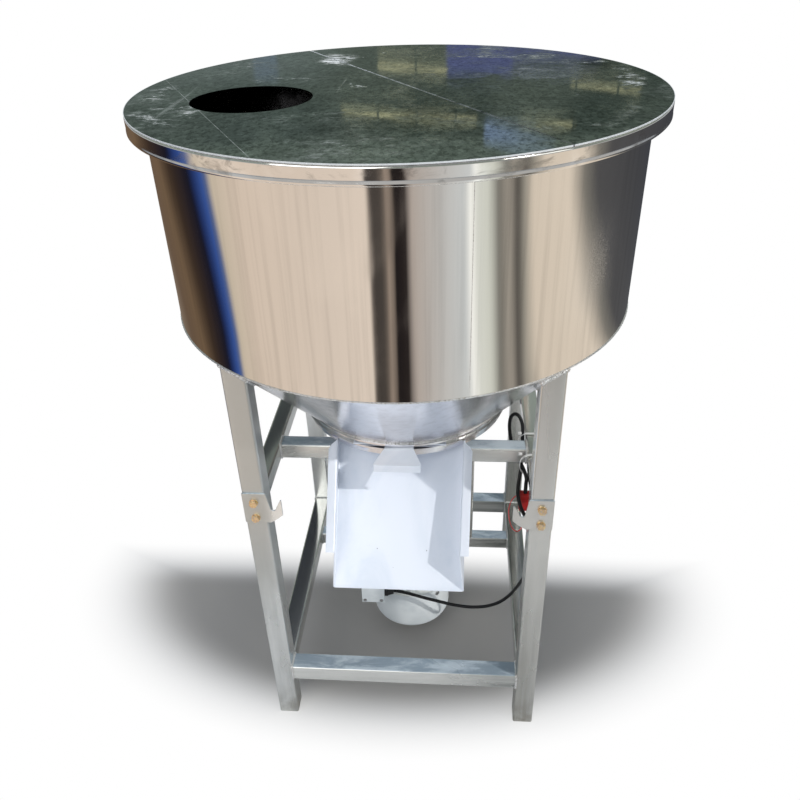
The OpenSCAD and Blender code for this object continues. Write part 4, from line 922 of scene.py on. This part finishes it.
# Studio: the yard seen in the drum, by angle from the front towards +X: degrees, display colour
YARD = [(-180, (120, 105, 90)), (-150, (96, 78, 62)), (-128, (104, 84, 64)), (-112, (56, 44, 36)),
        (-98, (24, 24, 36)), (-94, (34, 50, 96)), (-88.5, (54, 80, 142)), (-85.5, (84, 98, 134)),
        (-82, (192, 178, 158)), (-68, (208, 190, 172)), (-28, (211, 195, 179)), (-9.3, (216, 200, 184)),
        (-8.4, (64, 58, 54)), (-3.2, (70, 64, 59)), (-1.6, (150, 134, 120)), (0.2, (132, 118, 106)),
        (1.2, (30, 26, 26)), (6.0, (40, 34, 32)), (8.0, (172, 160, 150)), (30, (196, 198, 196)),
        (32.5, (244, 242, 234)), (35, (212, 212, 202)), (40, (200, 200, 188)), (44, (112, 108, 100)),
        (48.5, (158, 150, 138)), (52.5, (72, 68, 64)), (56, (150, 144, 132)), (60, (208, 194, 176)),
        (78, (212, 198, 180)), (86, (118, 114, 106)), (93, (76, 75, 75)), (180, (44, 46, 52))]


def backdrop(name, points, faces, material, unseen=()):
    """Plain sheet of the studio, which is no part of the machine; some kinds of ray may not see it."""
    mesh = bpy.data.meshes.new(name)
    mesh.from_pydata(points.reshape(-1, 3).tolist(), [], faces.tolist())
    mesh.materials.append(material)
    made = placed(name, mesh)
    for kind in unseen:
        setattr(made, "visible_" + kind, False)
    return made


def yard_card():
    """Glossy-only ring just above the floor that the drum mirrors: a ramp round the drum axis.

    Near the drum it is turned a little towards +X, the more so beyond 59 degrees from the front.
    """
    material = bpy.data.materials.new("yard_reflection")
    material.use_nodes = True
    material.node_tree.nodes.clear()
    n = Nodes(material.node_tree)
    bearing = n.calc("ARCTAN2", n.axis("X"), n.mul(n.axis("Y"), -1.0))
    near = n.sub(n.calc("DIVIDE", 2.7, n.length(n.place)), 0.586, clamp=True)  # 1 to 1.7 m out, 0 from 4.6 m
    wide = n.calc("ABSOLUTE", bearing)
    lean = n.add(n.mul(wide, 0.06), n.mul(n.most(n.sub(wide, 1.03), 0.0), 0.5))
    share = n.node("MapRange", {0: n.sub(bearing, n.mul(lean, near)), 1: -math.pi, 2: math.pi}).outputs[0]
    ramp = n.node("ValToRGB", {0: share})
    stops = ramp.color_ramp.elements
    while len(stops) < len(YARD):
        stops.new(0.5)
    for stop, (degrees, tone) in zip(stops, YARD):
        stop.position = (degrees + 180) / 360
        stop.color = tuple(c / s for c, s in zip(srgb(*tone), STEEL)) + (1.0,)
    n.node("OutputMaterial", {"Surface": n.node("Emission", {"Color": ramp.outputs[0]}).outputs[0]})
    points = np.stack([circle(spread(96), r, 0.001) for r in (0.95, 9.0)])
    backdrop("yard_reflection", points, grid_faces(2, 96, False, True), material,
             ("camera", "diffuse", "shadow", "transmission"))


def floor():
    """Plain floor with a painted grey shadow under the machine, pale towards its edges, and white to the camera
    further out.
    """
    # grey: colour of the painted shadow under the machine
    pale, grey, centre = (0.95, 0.92, 0.87), (0.49, 0.465, 0.43), (-0.04, 0.10)
    f = Finish("floor", pale, 0.9, 0.0, Specular_IOR_Level=0.0)
    back = f.axis("Y")
    # shade: soft ellipse under the machine, cut off behind it: a painted shadow of the machine on the floor
    shade = f.mul(f.spot(centre, (0.78, 0.44), 0.0, 0.26), f.ease(back, 0.16, 0.06))
    f.set(Base_Color=f.blend(pale, grey, shade))
    far = f.most(f.sub(1.0, f.spot(centre, (0.84, 0.50), 0.0, 0.38)), f.ease(back, 0.08, 0.22))
    seen = f.mul(far, f.node("LightPath").outputs["Is Camera Ray"])
    white = f.node("Emission", {"Color": (1, 1, 1, 1)})
    both = f.node("MixShader", {0: seen, 1: f.shader.outputs[0], 2: white.outputs[0]})
    f.put(f.tree.nodes["Material Output"].inputs["Surface"], both.outputs[0])
    side = np.linspace(-12, 12, 9)
    x, y = np.meshgrid(side, side)
    return backdrop("floor", np.stack([x, y, np.zeros_like(x)], -1), grid_faces(9, 9), f.material)


def lamp(name, at, target, size, power, glossy=True):
    """Oblong area lamp that looks at a target."""
    data = bpy.data.lights.new(name, "AREA")
    data.shape, data.size, data.size_y, data.energy = "RECTANGLE", *size, power
    made = placed(name, data)
    made.location = at
    made.rotation_euler = (Vector(target) - Vector(at)).to_track_quat("-Z", "Y").to_euler()
    made.visible_glossy = glossy


def sunlight(plane):
    """Low-angle sun from the front right; it leaves out the studio floor and the two shaded left rails."""
    data = bpy.data.lights.new("sun", "SUN")
    data.energy, data.angle, data.color = 1.6, math.radians(1.5), (1.0, 0.975, 0.94)
    made = placed("sun", data)
    made.rotation_euler = Vector((0.70, -0.39, 0.60)).to_track_quat("Z", "Y").to_euler()
    lit = bpy.data.collections.new("sun_receivers")
    rails = [bpy.data.objects[row + "_left_rail_finished"] for row in ("upper", "lower")]
    for shaded in [plane] + rails:
        lit.objects.link(shaded)
    for held in lit.collection_objects:
        held.light_linking.link_state = "EXCLUDE"
    made.light_linking.receiver_collection = lit


# Patches of the hall that the lid mirrors, in degrees of bearing, from behind towards +X, and of height:
# colour, bearings, heights, soft edge, rise per degree of bearing, strength, whether posts stand before it
BAND = (1.25, 1.15, 0.74)
HALL = [((0.22, 0.25, 0.52), -1.1, 3.4, 8.0, 10.3, 0.15, 0.0, 0.9, False),
        ((0.20, 0.22, 0.50), -1.1, 9.2, 7.8, 9.5, 0.15, 0.0, 0.9, False),
        ((0.34, 0.42, 0.54), -14.3, -12.7, 8.4, 10.0, 0.2, 0.0, 0.7, False),
        ((0.03, 0.04, 0.035), 8.0, 10.4, 9.3, 10.0, 0.35, 0.0, 0.85, False),
        (BAND, -8.5, 1.0, 12.58, 12.95, 0.1, 0.106, 0.8, True),
        (BAND, -5.8, -1.1, 9.50, 9.88, 0.1, 0.093, 0.8, True),
        (BAND, 4.1, 7.8, 13.15, 13.6, 0.25, 0.0, 0.55, True),
        (BAND, 7.4, 12.0, 10.84, 11.10, 0.12, 0.076, 0.75, True),
        ((0.55, 0.72, 1.2), 1.6, 6.6, 14.05, 15.4, 0.15, 0.27, 0.75, False)]
POST_EVERY = 2.75


def world():
    """White for the camera, soft white for light, and a dim hall above the horizon for glossy rays."""
    studio = bpy.context.scene.world = bpy.data.worlds.new("studio")
    studio.use_nodes = True
    studio.node_tree.nodes.clear()
    n = Nodes(studio.node_tree, "Generated")
    degree = 180 / math.pi
    height = n.mul(n.calc("ARCSINE", n.axis("Z")), degree)
    bearing = n.mul(n.calc("ARCTAN2", n.axis("X"), n.axis("Y")), degree)

    def window(value, low, high, soft):
        return n.mul(n.ease(value, low - soft, low + soft), n.ease(value, high + soft, high - soft))

    hall = n.blend((0.105, 0.135, 0.12), (0.20, 0.235, 0.205), n.ease(n.noise(9, 4), 0.35, 0.65))
    hall = n.blend(hall, (0.25, 0.30, 0.285), n.mul(n.ease(bearing, -4, -16), 0.6))
    left = n.mul(window(bearing, -24, -9.5, 2.5), n.ease(height, 10.8, 9.2))
    hall = n.blend(hall, (0.30, 0.35, 0.34), left)
    step = n.calc("MODULO", n.add(bearing, 20.0), POST_EVERY)
    between_posts = n.sub(1.0, window(step, 0.21, 0.33, 0.03))
    for tone, b0, b1, h0, h1, soft, rise, amount, posts in HALL:
        lifted = n.sub(height, n.mul(n.sub(bearing, (b0 + b1) / 2), rise))
        mask = n.mul(window(bearing, b0, b1, soft), window(lifted, h0, h1, soft * 0.55))
        if posts:
            mask = n.mul(mask, between_posts)
        hall = n.blend(hall, tone, n.mul(mask, amount))
    hall = n.blend(hall, (0.34, 0.40, 0.35), n.mul(n.ease(height, 13.6, 15.0), 0.75))
    hall = n.blend(hall, (0.24, 0.26, 0.29), n.ease(height, 24, 50))
    dark_window = n.mul(window(bearing, -34, -8, 5), window(height, 28, 51, 4))
    hall = n.blend(hall, (0.030, 0.034, 0.042), dark_window)
    hall = n.blend((0.50, 0.51, 0.52), hall, n.ease(height, 2.5, 7.5))
    ray = n.node("LightPath").outputs
    shown = n.blend((0.325, 0.365, 0.425), hall, ray["Is Glossy Ray"])
    shown = n.blend(shown, (1, 1, 1), ray["Is Camera Ray"])
    n.node("OutputWorld", {"Surface": n.node("Background", {"Color": shown}).outputs[0]})


yard_card()
sunlight(floor())
world()
lamp("overhead", (0.05, 0.1, 3.3), (0, 0, 0), (0.9, 0.9), 26, glossy=False)
lamp("front_key", (-1.3, -3.0, 2.3), (0, 0, 0.5), (2.6, 2.2), 34)
lamp("side_fill", (2.6, -1.6, 2.3), (0, 0, 0.5), (1.4, 1.4), 7)

bpy.context.scene.view_settings.view_transform = "Standard"
